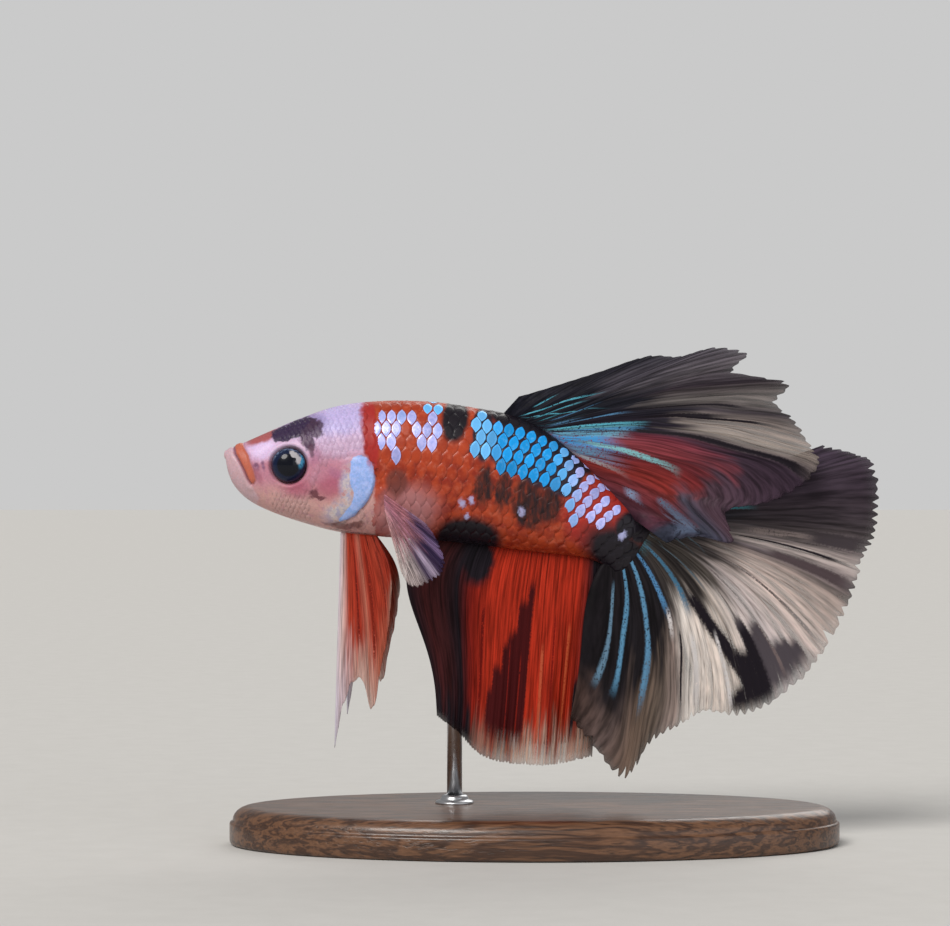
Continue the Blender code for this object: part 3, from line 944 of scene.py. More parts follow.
@dataclass(frozen=True)
class Body:
    """Form of the body, which the skin, the scales, the eyes and the fins share, in millimetres."""

    # Ribs from snout to tail base: x and z of the back, x and z of the belly, half of the width.
    ribs: tuple = (
        (-34.44, 41.29, -34.44, 40.39, 0.7), (-34.07, 41.49, -34.07, 38.71, 1.3),
        (-33.34, 41.8, -33.34, 37.35, 1.8), (-31.97, 42.36, -31.97, 36.04, 2.25),
        (-29.77, 43.33, -29.77, 34.91, 2.75), (-26.62, 44.65, -26.62, 33.8, 3.4),
        (-22.63, 45.99, -22.63, 32.73, 4.05), (-18.32, 46.56, -18.32, 32.17, 4.35),
        (-12.97, 46.5, -13.18, 31.85, 4.35), (-8.24, 45.85, -8.98, 31.42, 4.1),
        (-4.36, 45.07, -5.41, 31.0, 3.7), (-0.89, 43.44, -2.26, 30.63, 3.25),
        (2.05, 41.13, 0.58, 30.31, 2.75), (5.3, 37.87, 3.62, 29.89, 2.1),
        (8.66, 34.41, 5.93, 28.74, 1.3), (9.6, 33.5, 6.5, 28.0, 0.75), (10.3, 33.0, 7.0, 27.3, 0.2))
    roundness_head: float = 2.25
    roundness_tail: float = 1.9
    tail_base: int = 14

    def point(self, rib: np.ndarray | float, turn: np.ndarray | float) -> np.ndarray:
        """A point of the body's surface.

        Args:
            rib: Rib number, which may be fractional.
            turn: Angle round the body, 0 on the back, running down the left side.

        Returns:
            The point or points.
        """
        rib, turn = np.broadcast_arrays(np.asarray(rib, dtype=float), np.asarray(turn, dtype=float))
        back_x, back_z, belly_x, belly_z, half = np.moveaxis(smooth_rows(self.ribs, rib), -1, 0)
        share = np.minimum(rib / self.tail_base, 1.0)
        power = 2.0 / (self.roundness_head + (self.roundness_tail - self.roundness_head) * share)
        upright = np.sign(np.cos(turn)) * np.abs(np.cos(turn)) ** power
        aside = np.sign(np.sin(turn)) * np.abs(np.sin(turn)) ** power
        down = 0.5 * (1.0 - upright)
        return np.stack([back_x + (belly_x - back_x) * down, -half * aside,
                         back_z + (belly_z - back_z) * down], axis=-1)

    def outside(self, rib: float, turn: float, distance: float) -> np.ndarray:
        """x and z of a point at a distance out from the back or belly line.

        Args:
            rib: Rib number.
            turn: 0 for the back, pi for the belly.
            distance: How far out, negative for further in.

        Returns:
            The point or points.
        """
        step = 0.05
        ahead, here, behind = (self.point(rib + shift, turn)[..., [0, 2]] for shift in (-step, 0.0, step))
        run = behind - ahead
        run = run / np.linalg.norm(run, axis=-1, keepdims=True)
        outward = np.stack([-run[..., 1], run[..., 0]], axis=-1) * (1.0 if turn == 0 else -1.0)
        return here + outward * distance


GILL = rounded(((-20.32, 40.71), (-19.16, 40.29), (-18.64, 38.82), (-19.16, 36.51), (-20.95, 34.41),
                (-23.47, 33.62), (-25.04, 34.62), (-24.83, 36.72), (-23.89, 39.03), (-22.1, 40.39)))
CRESCENT = rounded(((-20.8, 40.6), (-19.5, 40.7), (-18.5, 38.8), (-18.9, 36.7), (-19.75, 35.1),
                    (-21.0, 34.1), (-22.3, 33.9), (-22.0, 34.6), (-21.2, 35.5), (-20.85, 36.5),
                    (-21.0, 37.6), (-21.25, 38.6), (-21.1, 39.7)))
MOUTH: Line = ((-33.75, 42.39), (-33.44, 41.39), (-33.31, 40.92), (-32.81, 40.08), (-32.35, 39.19),
               (-31.95, 38.24), (-31.62, 37.75))
LIP_REAR: Line = ((-32.6, 42.39), (-32.29, 41.6), (-31.8, 40.81), (-31.61, 40.03), (-31.26, 39.13),
                  (-31.03, 38.19), (-31.3, 37.72))
JAW: Line = MOUTH + ((-31.29, 37.35), (-30.7, 36.3), (-31.5, 34.6), (-36.0, 35.0), (-36.0, 42.8))
NOSTRILS: Line = ((-31.03, 39.66), (-30.34, 39.87))
PECTORAL_PAD: Line = ((-17.7, 36.75), (-17.45, 34.6))


@dataclass(frozen=True)
class Eyes:
    """The two eyes, flattened balls that sit in their sockets."""

    centre: tuple[float, float, float] = (-27.65, 2.6, 39.75)
    radius: float = 1.85
    depth: float = 1.3
    rings: int = 28
    sides: int = 56

    def build(self) -> list[bpy.types.Object]:
        """Build both eyeballs, in place of their solids.

        Returns:
            The eyeballs.
        """
        finish = EyeFinish(self).make()
        built = []
        for side, sign in (("left", -1.0), ("right", 1.0)):
            middle_y = sign * self.centre[1]
            angle = np.pi * np.arange(1, self.rings) / self.rings
            turn = 2.0 * np.pi * np.arange(self.sides) / self.sides
            x = self.centre[0] + self.radius * np.outer(np.sin(angle), np.cos(turn))
            z = self.centre[2] + self.radius * np.outer(np.sin(angle), np.sin(turn))
            y = middle_y - self.depth * np.outer(np.cos(angle), np.ones(self.sides))
            points = np.stack([x, y, z], axis=-1).reshape(-1, 3)
            poles = [(self.centre[0], middle_y + way * self.depth, self.centre[2]) for way in (-1.0, 1.0)]
            faces = [face[::-1] for face in capped_tube(self.rings - 1, self.sides)]
            ball = add_mesh(f"eyeball_{side}", np.vstack([points, poles]), faces, finish)
            built.append(dress(ball, "eye", f"eye_{side}"))
        return built


@dataclass(frozen=True)
class EyeFinish:
    """Glossy black eye with a navy iris, a grey-blue upper rim, and a painted reflection towards the rear: a
    pale glint with a cyan edge.
    """

    eyes: Eyes

    def make(self) -> bpy.types.Material:
        """Build the material.

        Returns:
            The material.
        """
        recipe = Recipe("eye")
        at = recipe.millimetres()
        x, _, z = recipe.parts(at)
        cx, _, cz = self.eyes.centre
        radius = ((x - cx) ** 2.0 + (z - cz) ** 2.0).root()
        spray = recipe.noise(at, 0.28, 3.0, 0.65)
        rim = radius.ramp(1.42, 1.66) * z.ramp(cz + 0.2, cz + 1.3) * spray.ramp(0.4, 0.62)
        # painted reflection: a cyan edge to the rear of the pale glint
        painted_glint_edge = recipe.patch(at, Patch(cx + 1.42, cz + 0.45, 0.3, 0.75, -14, 0.4))
        # painted reflection: a pale glint on the upper rear of the eye
        flecks = (Patch(cx + 0.62, cz + 1.1, 0.55, 0.3, -30, 0.2),
                  Patch(cx + 1.05, cz + 0.55, 0.26, 0.45, 10, 0.2))
        painted_glint = recipe.patches(recipe.ragged(at, 0.5, 0.25), flecks)
        colour = recipe.layers(
            (0.002, 0.003, 0.008), ((0.004, 0.01, 0.04), radius.ramp(1.05, 1.3)),
            ((0.16, 0.22, 0.36), rim * 0.9), ((0.05, 0.3, 0.52), painted_glint_edge * spray.ramp(0.3, 0.52)),
            ((0.46, 0.44, 0.46), painted_glint), ((0.004, 0.005, 0.01), radius.ramp(1.66, 1.8)))
        return recipe.finish(Base_Color=colour, Roughness=spray.ramp(0.3, 0.7, 0.25, 0.35),
                             Specular_IOR_Level=0.1, Coat_Weight=0.7, Coat_Roughness=0.02, Coat_IOR=1.35)


@dataclass(frozen=True)
class Skin:
    """One closed skin from the lips to the tail base, in place of all the solids of flesh."""

    body: Body = field(default_factory=Body)
    eyes: Eyes = field(default_factory=Eyes)
    sides: int = 192
    coat_depth: float = 0.1
    face_depth: float = 0.02
    nodes: tuple[str, ...] = ("head", "upper_lip", "lower_jaw", "gill_cover_left", "gill_cover_right",
                              "trunk", "tail_stalk")

    def rows(self) -> np.ndarray:
        """Rib numbers of the rows, closest on the head.

        Returns:
            The numbers.
        """
        last = len(self.body.ribs) - 1
        return np.concatenate([np.linspace(0.0, 4.5, 120, endpoint=False),
                               np.linspace(4.5, 7.3, 100, endpoint=False), np.linspace(7.3, last, 95)])

    def nose(self, first: np.ndarray, steps: int = 7, reach: float = 0.16) -> np.ndarray:
        """Rows that round the first rib off to the tip of the snout.

        Args:
            first: The first rib's points.
            steps: How many rows there are, less one.
            reach: How far the snout stands out before the rib.

        Returns:
            The rows, from the tip.
        """
        centre = first.mean(axis=0)
        rows = []
        for step in range(1, steps):
            angle = 0.5 * np.pi * step / steps
            row = centre + (first - centre) * np.sin(angle)
            row[:, 0] -= reach * np.cos(angle)
            rows.append(row)
        return np.stack(rows)

    def build(self) -> bpy.types.Object:
        """Build the skin with its relief, its marks and its unwrap.

        Returns:
            The skin.
        """
        turns = 2.0 * np.pi * (np.arange(self.sides) + 0.5) / self.sides
        rows = self.rows()
        grid = self.body.point(rows[:, None], turns[None, :])
        grid = np.concatenate([self.nose(grid[0]), grid])
        normal = -grid_normals(grid, wraps=True)
        ribs = np.concatenate([np.zeros(len(grid) - len(rows)), rows])
        depth = self.face_depth + (self.coat_depth - self.face_depth) * rise(ribs, 5.5, 7.2)
        side_view = grid[..., [0, 2]]
        marks = self.marks(side_view)
        shaped = grid + normal * (self.relief(side_view, grid, marks) - depth[:, None])[..., None]
        shaped = self.seat_eyes(shaped)
        tip = shaped[0].mean(axis=0) - np.array((0.01, 0.0, 0.0))
        end = shaped[-1].mean(axis=0)
        points = np.vstack([shaped.reshape(-1, 3), tip, end])
        skin = add_mesh("skin", points, capped_tube(len(grid), self.sides), SkinFinish().make())
        for name, values in marks.items():
            add_values(skin.data, name, np.append(values.ravel(), (0.0, 0.0)))
        self.unwrap(skin.data, shaped, len(grid))
        return dress(skin, "head_skin", *self.nodes)

    def unwrap(self, mesh: bpy.types.Mesh, grid: np.ndarray, rows: int) -> None:
        """Lay the skin out flat, cut along the belly: round the body by its turn, along it by its length.

        Args:
            mesh: The skin's mesh.
            grid: Its points in rows.
            rows: How many rows there are.
        """
        length = self.lengths(grid)
        corners = corner_vertices(mesh)
        row = np.minimum(corners // self.sides, rows - 1)
        around = (corners % self.sides + 0.5) / self.sides
        around = (around + 0.5) % 1.0
        faces = np.repeat(np.arange(len(mesh.polygons)), [len(p.vertices) for p in mesh.polygons])
        low = np.full(len(mesh.polygons), np.inf)
        np.minimum.at(low, faces, around)
        around = np.where(around - low[faces] > 0.5, around - 1.0, around)
        poles = corners >= rows * self.sides
        around = np.where(poles, low[faces] + 0.5 / self.sides, around)
        along = np.where(poles, np.where(corners == rows * self.sides, 0.0, 1.0), 0.004 + 0.992 * length[row])
        add_map(mesh, "OFBake", np.stack([0.002 + 0.996 * np.clip(around, 0.0, 1.0), along], axis=-1))

    @staticmethod
    def lengths(grid: np.ndarray) -> np.ndarray:
        """How far along the body each row lies, as a share of its length.

        Args:
            grid: The skin's points in rows.

        Returns:
            The shares.
        """
        middle = grid.mean(axis=1)
        steps = np.linalg.norm(np.diff(middle, axis=0), axis=1)
        total = np.concatenate([[0.0], np.cumsum(steps)])
        return total / total[-1]

    def marks(self, side_view: np.ndarray) -> dict[str, np.ndarray]:
        """Parts of the head that get a colour of their own, each between 0 and 1, among them painted shade in
        the creases and a painted highlight round the eyes.

        Args:
            side_view: x and z of the skin's points.

        Returns:
            The marks by their names.
        """
        gill = depth_inside(side_view, GILL)
        mouth = distance_to(side_view, MOUTH)
        lip = depth_inside(side_view, MOUTH + LIP_REAR[::-1])
        eye = np.hypot(side_view[..., 0] - self.eyes.centre[0], side_view[..., 1] - self.eyes.centre[2])
        # Painted shade: dark along the mouth line, behind the lips and under the gill cover's free edge.
        crease = hump(mouth, 0.09) + 0.35 * hump(distance_to(side_view, LIP_REAR), 0.08)
        return {
            "crescent": rise(depth_inside(side_view, CRESCENT), -0.4, 0.35) * rise(gill, -0.2, 0.05),
            "jaw": rise(depth_inside(side_view, JAW), -0.05, 0.25),
            "lip": rise(lip, 0.0, 0.16),
            # painted highlight round the eyes, laid only on their upper half
            "orbit": hump(eye - 2.15, 0.25),
            "crease": np.clip(crease + 0.5 * hump(gill + 0.1, 0.1) * self.gill_rear(side_view), 0.0, 1.0),
        }

    @staticmethod
    def gill_rear(side_view: np.ndarray) -> np.ndarray:
        """Where the gill cover's edge is free: behind and below, fading out in front and above."""
        away = side_view - np.array((-21.9, 37.2))
        return rise(away[..., 0] - 0.35 * away[..., 1], -2.2, 0.4)

    def relief(self, side_view: np.ndarray, grid: np.ndarray, marks: dict[str, np.ndarray]) -> np.ndarray:
        """How far the skin stands out at lips, jaw, gill covers, nostrils and fin pads.

        Args:
            side_view: x and z of the skin's points.
            grid: The points.
            marks: The parts of the head.

        Returns:
            The heights.
        """
        gill = depth_inside(side_view, GILL)
        mouth = distance_to(side_view, MOUTH)
        lip = depth_inside(side_view, MOUTH + LIP_REAR[::-1])
        free = self.gill_rear(side_view)
        height = -0.22 * hump(mouth, 0.1)
        height += 0.15 * rise(lip, 0.0, 0.38)
        height += 0.1 * hump(mouth - 0.4, 0.28) * marks["jaw"]
        height -= 0.05 * hump(distance_to(side_view, LIP_REAR), 0.1)
        height += 0.05 * rise(gill, -0.3, 1.5)
        height += 0.15 * free * rise(gill, -0.04, 0.16) - 0.15 * free * hump(gill + 0.12, 0.12)
        height -= 0.05 * hump(depth_inside(side_view, CRESCENT), 0.1) * rise(gill, 0.3, 0.6)
        x, z = side_view[..., 0], side_view[..., 1]
        for nostril in NOSTRILS:
            away = np.hypot(x - nostril[0], z - nostril[1])
            height += 0.05 * hump(away - 0.26, 0.12) - 0.14 * hump(away, 0.18)
        height += 0.22 * hump(distance_to(side_view, PECTORAL_PAD), 0.75)
        wrinkle = 0.05 * np.sin(6.0 * (x * 0.25 + z - 33.6)) * hump(z - 33.3, 0.9)
        height += wrinkle * rise(x, -28.5, -26.0) * rise(x, -19.0, -21.0)
        return height * rise(np.abs(grid[..., 1]), 0.0, 0.45)

    def seat_eyes(self, grid: np.ndarray) -> np.ndarray:
        """Lay the skin behind each eyeball and raise a rim round it.

        Args:
            grid: The skin's points.

        Returns:
            The moved points.
        """
        x, y, z = np.moveaxis(grid, -1, 0)
        away = np.hypot(x - self.eyes.centre[0], z - self.eyes.centre[2])
        behind = self.eyes.centre[1] - 0.25
        share = rise(away, 1.72, 2.22)
        level = behind + (np.abs(y) - behind) * share + 0.05 * hump(away - 2.28, 0.2)
        level = level - 0.03 * hump(away - 2.75, 0.22)
        return np.stack([x, np.where(away < 3.4, np.sign(y) * level, y), z], axis=-1)


# --- Geometry Nodes ---

class Tree:
    """A Geometry Nodes tree built link by link."""

    def __init__(self, name: str, **inputs: str) -> None:
        """Start a tree with a geometry input and one named input for each size or object.

        Args:
            name: The tree's name.
            **inputs: The kind of each named input.
        """
        self.group = bpy.data.node_groups.new(name, "GeometryNodeTree")
        self.group.interface.new_socket("Geometry", in_out="OUTPUT", socket_type="NodeSocketGeometry")
        self.group.interface.new_socket("Geometry", in_out="INPUT", socket_type="NodeSocketGeometry")
        self.identifiers = {}
        for key, kind in inputs.items():
            socket = self.group.interface.new_socket(key, in_out="INPUT", socket_type=f"NodeSocket{kind}")
            self.identifiers[key] = socket.identifier
        self.entry = self.group.nodes.new("NodeGroupInput")
        self.exit = self.group.nodes.new("NodeGroupOutput")

    def node(self, kind: str, settings: dict | None = None, inputs: dict | None = None) -> bpy.types.Node:
        """Add a node, with its properties set first and its sockets linked or filled.

        Args:
            kind: The node's type.
            settings: Its properties.
            inputs: Values or sockets, by number or name.

        Returns:
            The node.
        """
        made = self.group.nodes.new(kind)
        for key, value in (settings or {}).items():
            setattr(made, key, value)
        for key, value in (inputs or {}).items():
            if isinstance(value, bpy.types.NodeSocket):
                self.group.links.new(value, made.inputs[key])
            else:
                made.inputs[key].default_value = value
        return made

    def named(self, name: str, kind: str = "FLOAT_VECTOR") -> bpy.types.NodeSocket:
        """Read an attribute of the geometry."""
        reader = self.node("GeometryNodeInputNamedAttribute", {"data_type": kind}, {"Name": name})
        return reader.outputs["Attribute"]

    def close(self, geometry: bpy.types.NodeSocket) -> None:
        """End with one mesh: instances made real, and the finish set.

        Args:
            geometry: What the tree made.
        """
        real = self.node("GeometryNodeRealizeInstances", None, {"Geometry": geometry})
        dressed = self.node("GeometryNodeSetMaterial", None, {
            "Geometry": real.outputs[0], "Material": self.entry.outputs["Finish"]})
        self.group.links.new(dressed.outputs[0], self.exit.inputs[0])

    def apply(self, name: str, base: bpy.types.Object, **values: object) -> bpy.types.Object:
        """Run the tree on an object and keep only the plain mesh that comes out.

        Args:
            name: Name of the new object.
            base: The object that carries the modifier, which is removed afterwards.
            **values: The tree's named inputs.

        Returns:
            The new object.
        """
        modifier = base.modifiers.new(name, "NODES")
        modifier.node_group = self.group
        for key, value in values.items():
            modifier[self.identifiers[key]] = value
        graph = bpy.context.evaluated_depsgraph_get()
        mesh = bpy.data.meshes.new_from_object(base.evaluated_get(graph), preserve_all_data_layers=True,
                                               depsgraph=graph)
        base.modifiers.remove(modifier)
        bpy.data.objects.remove(base, do_unlink=True)
        mesh.name = name
        return add_object(name, mesh)


class CoatPart(Enum):
    """Where a coat of scales lies."""

    TRUNK = "trunk"
    HEAD = "head"


@dataclass(frozen=True)
class ScaleCoat:
    """Overlapping scales in staggered columns, each a thin plate that follows the skin."""

    name: str
    part: CoatPart
    skin: Skin
    first_column: float
    last_column: float
    lattice: tuple[tuple[float, float, float], ...]      # x, distance between rows, distance between columns
    segments: int = 12
    rings: tuple[float, ...] = (0.55, 1.0)
    stand: float = 0.038
    plate: float = 0.022
    sag: float = 0.008
    seed: int = 7
    slot: str = "trunk_scales"

    FRONT = 1.5                 # how much longer a scale is before its root than behind it
    HALF_HEIGHT = 0.354          # in row pitches, so that the points reach between the next rows
    OVERLAP = 1.05
    SPLAY = 1.03                 # how much wider a scale is below than above
    PATCH = (0.045, 0.0085)      # its patch on the unwrap, per row pitch round the body and spacing along it,
    PATCH_PITCH = 2.9            # where the rows lie this far apart

    @classmethod
    def reach(cls, along: Wire, across: Wire) -> Wire:
        """How far out a place is on a scale, 1 on its rim: pointed ovals that fit between each other.

        Args:
            along: Place along the body from the root, in column spacings.
            across: Place across it, in row pitches.

        Returns:
            The distance.
        """
        return abs(along) + (across / cls.HALF_HEIGHT) ** 2.0

    def spacing(self, x: float) -> tuple[float, float]:
        """Distance between rows and between columns of scales at a place along the body."""
        places, rows, columns = zip(*self.lattice)
        return float(np.interp(x, places, rows)), float(np.interp(x, places, columns))

    def columns(self) -> np.ndarray:
        """Rib numbers of the columns, spaced along the middle of the side.

        Returns:
            The numbers.
        """
        ribs = np.linspace(0.0, len(self.skin.body.ribs) - 1.0, 1601)
        middle = self.skin.body.point(ribs, 0.5 * np.pi)
        found, place = [], self.first_column
        while place < self.last_column:
            found.append(np.interp(place, middle[:, 0], ribs))
            place += self.spacing(place)[1]
        return np.array(found)

    def roots(self) -> dict[str, np.ndarray]:
        """Places of all scales, with their directions and sizes.

        Returns:
            Arrays by name, with one row for each scale.
        """
        body = self.skin.body
        chance = np.random.default_rng(self.seed)
        turns = np.linspace(0.0, np.pi, 361)
        found: dict[str, list] = {key: [] for key in ("place", "out", "along", "size", "turn", "rib")}
        for number, rib in enumerate(self.columns()):
            section = body.point(rib, turns)
            length = np.concatenate([[0.0], np.cumsum(np.linalg.norm(np.diff(section, axis=0), axis=1))])
            middle = len(turns) // 2
            pitch, step = self.spacing(section[middle, 0])
            rows = length[middle] + (np.arange(-20, 21) + 0.5 * (number % 2)) * pitch
            rows = rows[(rows > 0.27 * pitch) & (rows < length[-1] - 0.27 * pitch)]
            sides = [(float(t), sign) for t in np.interp(rows, length, turns) for sign in (1.0, -1.0)]
            if number % 2 == 0:
                sides += [(0.0, 1.0), (np.pi, 1.0)]
            for turn, sign in sides:
                turn = sign * turn
                here = body.point(rib, turn)
                along = body.point(rib + 0.05, turn) - body.point(rib - 0.05, turn)
                around = body.point(rib, turn + 0.01) - body.point(rib, turn - 0.01)
                normal = np.cross(around, along)
                if not self.wanted(here):
                    continue
                found["place"].append(here)
                found["out"].append(normal / np.linalg.norm(normal))
                found["along"].append(along / np.linalg.norm(along))
                found["size"].append((step, pitch, 1.0))
                found["turn"].append(turn)
                found["rib"].append(rib)
        result = {key: np.array(values) for key, values in found.items()}
        count = len(result["place"])
        size_drift, tone_drift, tilt_drift = (spread * chance.standard_normal(count).clip(-2, 2)
                                              for spread in (0.025, 0.1, 0.0015))
        result["size"][:, :2] *= 1.0 + size_drift[:, None]
        result["tone"] = 1.0 + tone_drift
        first = result["rib"].min()
        front = rise(result["rib"], first - 0.01, first + 0.5)
        result["tilt"] = tilt_drift - 0.5 * self.stand * (1.0 - front)
        return result

    def wanted(self, place: np.ndarray) -> bool:
        """Whether a scale may stand at a place: not on the gill covers, the eyes or the snout.

        Args:
            place: The root's place.

        Returns:
            Whether it may.
        """
        over_gill = float(depth_inside(place[[0, 2]], GILL))
        if self.part is CoatPart.TRUNK:
            return over_gill < -0.7
        eye = self.skin.eyes.centre
        return over_gill < -0.35 and math.hypot(place[0] - eye[0], place[2] - eye[2]) > 2.9

    def leaf(self) -> bpy.types.Object:
        """One scale, in column spacings along X and row pitches along Y, with its rise stored apart.

        Returns:
            The scale.
        """
        turn = 2.0 * np.pi * np.arange(self.segments) / self.segments
        x, y = np.cos(turn) * np.abs(np.cos(turn)), np.sin(turn)
        along = np.outer(self.rings, x * np.where(x > 0, self.OVERLAP, self.FRONT))
        across = np.outer(self.rings, y)
        top = np.stack([along, across * self.HALF_HEIGHT * self.OVERLAP, np.zeros(along.shape)], axis=-1)
        points = np.vstack([top.reshape(-1, 3), top[-1] * self.SPLAY, np.zeros((2, 3))])
        lift, middle = self.lift(along, across), self.lift(0.0, 0.0)
        lift = np.concatenate([lift.ravel(), lift[-1] - self.plate, (middle, middle - self.plate)])
        faces = [(face[0], *face[:0:-1]) for face in capped_tube(len(self.rings) + 1, self.segments)]
        mesh = bpy.data.meshes.new("leaf")
        mesh.from_pydata(points.tolist(), [], faces)
        mesh.shade_smooth()
        add_values(mesh, "lift", lift)
        add_values(mesh, "leaf", points)
        return add_object("leaf", mesh)

    def lift(self, along: np.ndarray | float, across: np.ndarray | float) -> np.ndarray | float:
        """Height over the skin: none at the front, full at the rear, sagging to the sides."""
        return self.stand * (along + self.FRONT) / (1.0 + self.FRONT) - self.sag * across**2

    def tree(self) -> Tree:
        """The tree that sets a leaf at each root and lays it on the skin.

        Returns:
            The tree.
        """
        tree = Tree(self.name, Leaf="Object", Skin="Object", Finish="Material")
        leaf, skin = (tree.node("GeometryNodeObjectInfo", None, {"Object": tree.entry.outputs[name]})
                      for name in ("Leaf", "Skin"))
        upright = tree.node("FunctionNodeAlignRotationToVector", {"axis": "Z"}, {"Vector": tree.named("out")})
        turned = tree.node("FunctionNodeAlignRotationToVector", {"axis": "X", "pivot_axis": "Z"},
                           {"Rotation": upright.outputs[0], "Vector": tree.named("along")})
        spread = tree.node("GeometryNodeInstanceOnPoints", None, {
            "Points": tree.entry.outputs["Geometry"], "Instance": leaf.outputs["Geometry"],
            "Rotation": turned.outputs[0], "Scale": tree.named("size")})
        real = tree.node("GeometryNodeRealizeInstances", None, {"Geometry": spread.outputs[0]})
        nearest = tree.node("GeometryNodeProximity", {"target_element": "FACES"},
                            {0: skin.outputs["Geometry"]})
        normal = tree.node("GeometryNodeInputNormal")
        sampled = tree.node("GeometryNodeSampleNearestSurface", {"data_type": "FLOAT_VECTOR"},
                            {"Mesh": skin.outputs["Geometry"], "Value": normal.outputs[0]})
        lift = tree.node("ShaderNodeMath", {"operation": "ADD"},
                         {0: tree.named("lift", "FLOAT"), 1: tree.named("tilt", "FLOAT")})
        metres = tree.node("ShaderNodeMath", {"operation": "MULTIPLY"}, {0: lift.outputs[0], 1: MM})
        raised = tree.node("ShaderNodeVectorMath", {"operation": "SCALE"},
                           {0: sampled.outputs[0], "Scale": metres.outputs[0]})
        placed = tree.node("ShaderNodeVectorMath", {"operation": "ADD"},
                           {0: nearest.outputs["Position"], 1: raised.outputs[0]})
        moved = tree.node("GeometryNodeSetPosition", None,
                          {"Geometry": real.outputs[0], "Position": placed.outputs[0]})
        tree.close(moved.outputs[0])
        return tree

    def build(self, skin: bpy.types.Object, finish: bpy.types.Material) -> bpy.types.Object:
        """Build the coat over a skin.

        Args:
            skin: The skin.
            finish: The scales' finish.

        Returns:
            The coat.
        """
        roots = self.roots()
        mesh = bpy.data.meshes.new(f"{self.name}_roots")
        mesh.from_pydata((roots["place"] * MM).tolist(), [], [])
        roots["size"] *= np.array((MM, MM, 1.0))
        roots["scale_root"] = roots["place"] * MM
        roots["spot"] = np.stack([roots["turn"], roots["rib"], np.zeros(len(roots["rib"]))], axis=-1)
        for name in ("out", "along", "size", "scale_root", "tone", "tilt", "spot"):
            add_values(mesh, name, roots[name])
        base = add_object(f"{self.name}_roots", mesh)
        leaf = self.leaf()
        coat = self.tree().apply(self.name, base, Leaf=leaf, Skin=skin, Finish=finish)
        bpy.data.objects.remove(leaf, do_unlink=True)
        coat.data.materials.clear()
        coat.data.materials.append(finish)
        self.unwrap(coat.data)
        return dress(coat, self.slot)

    def unwrap(self, mesh: bpy.types.Mesh) -> None:
        """Give each scale a patch of its own at its root's place on the skin's unwrap.

        Args:
            mesh: The coat's mesh.
        """
        spot, leaf = corner_values(mesh, "spot"), corner_values(mesh, "leaf")
        rows = self.skin.rows()
        middle = self.skin.body.point(rows[:, None], np.linspace(0.0, 2.0 * np.pi, 33)[None, :-1])
        length = np.interp(spot[:, 1], rows, self.skin.lengths(middle))
        around = (spot[:, 0] / (2.0 * np.pi) + 0.5) % 1.0
        reach = np.array(self.PATCH) * self.lattice[0][1] / self.PATCH_PITCH
        patch = np.stack([0.03 + 0.94 * around + leaf[:, 1] * reach[0],
                          0.02 + 0.95 * length + leaf[:, 0] * reach[1]], axis=-1)
        add_map(mesh, "OFBake", patch)


# --- Fins ---

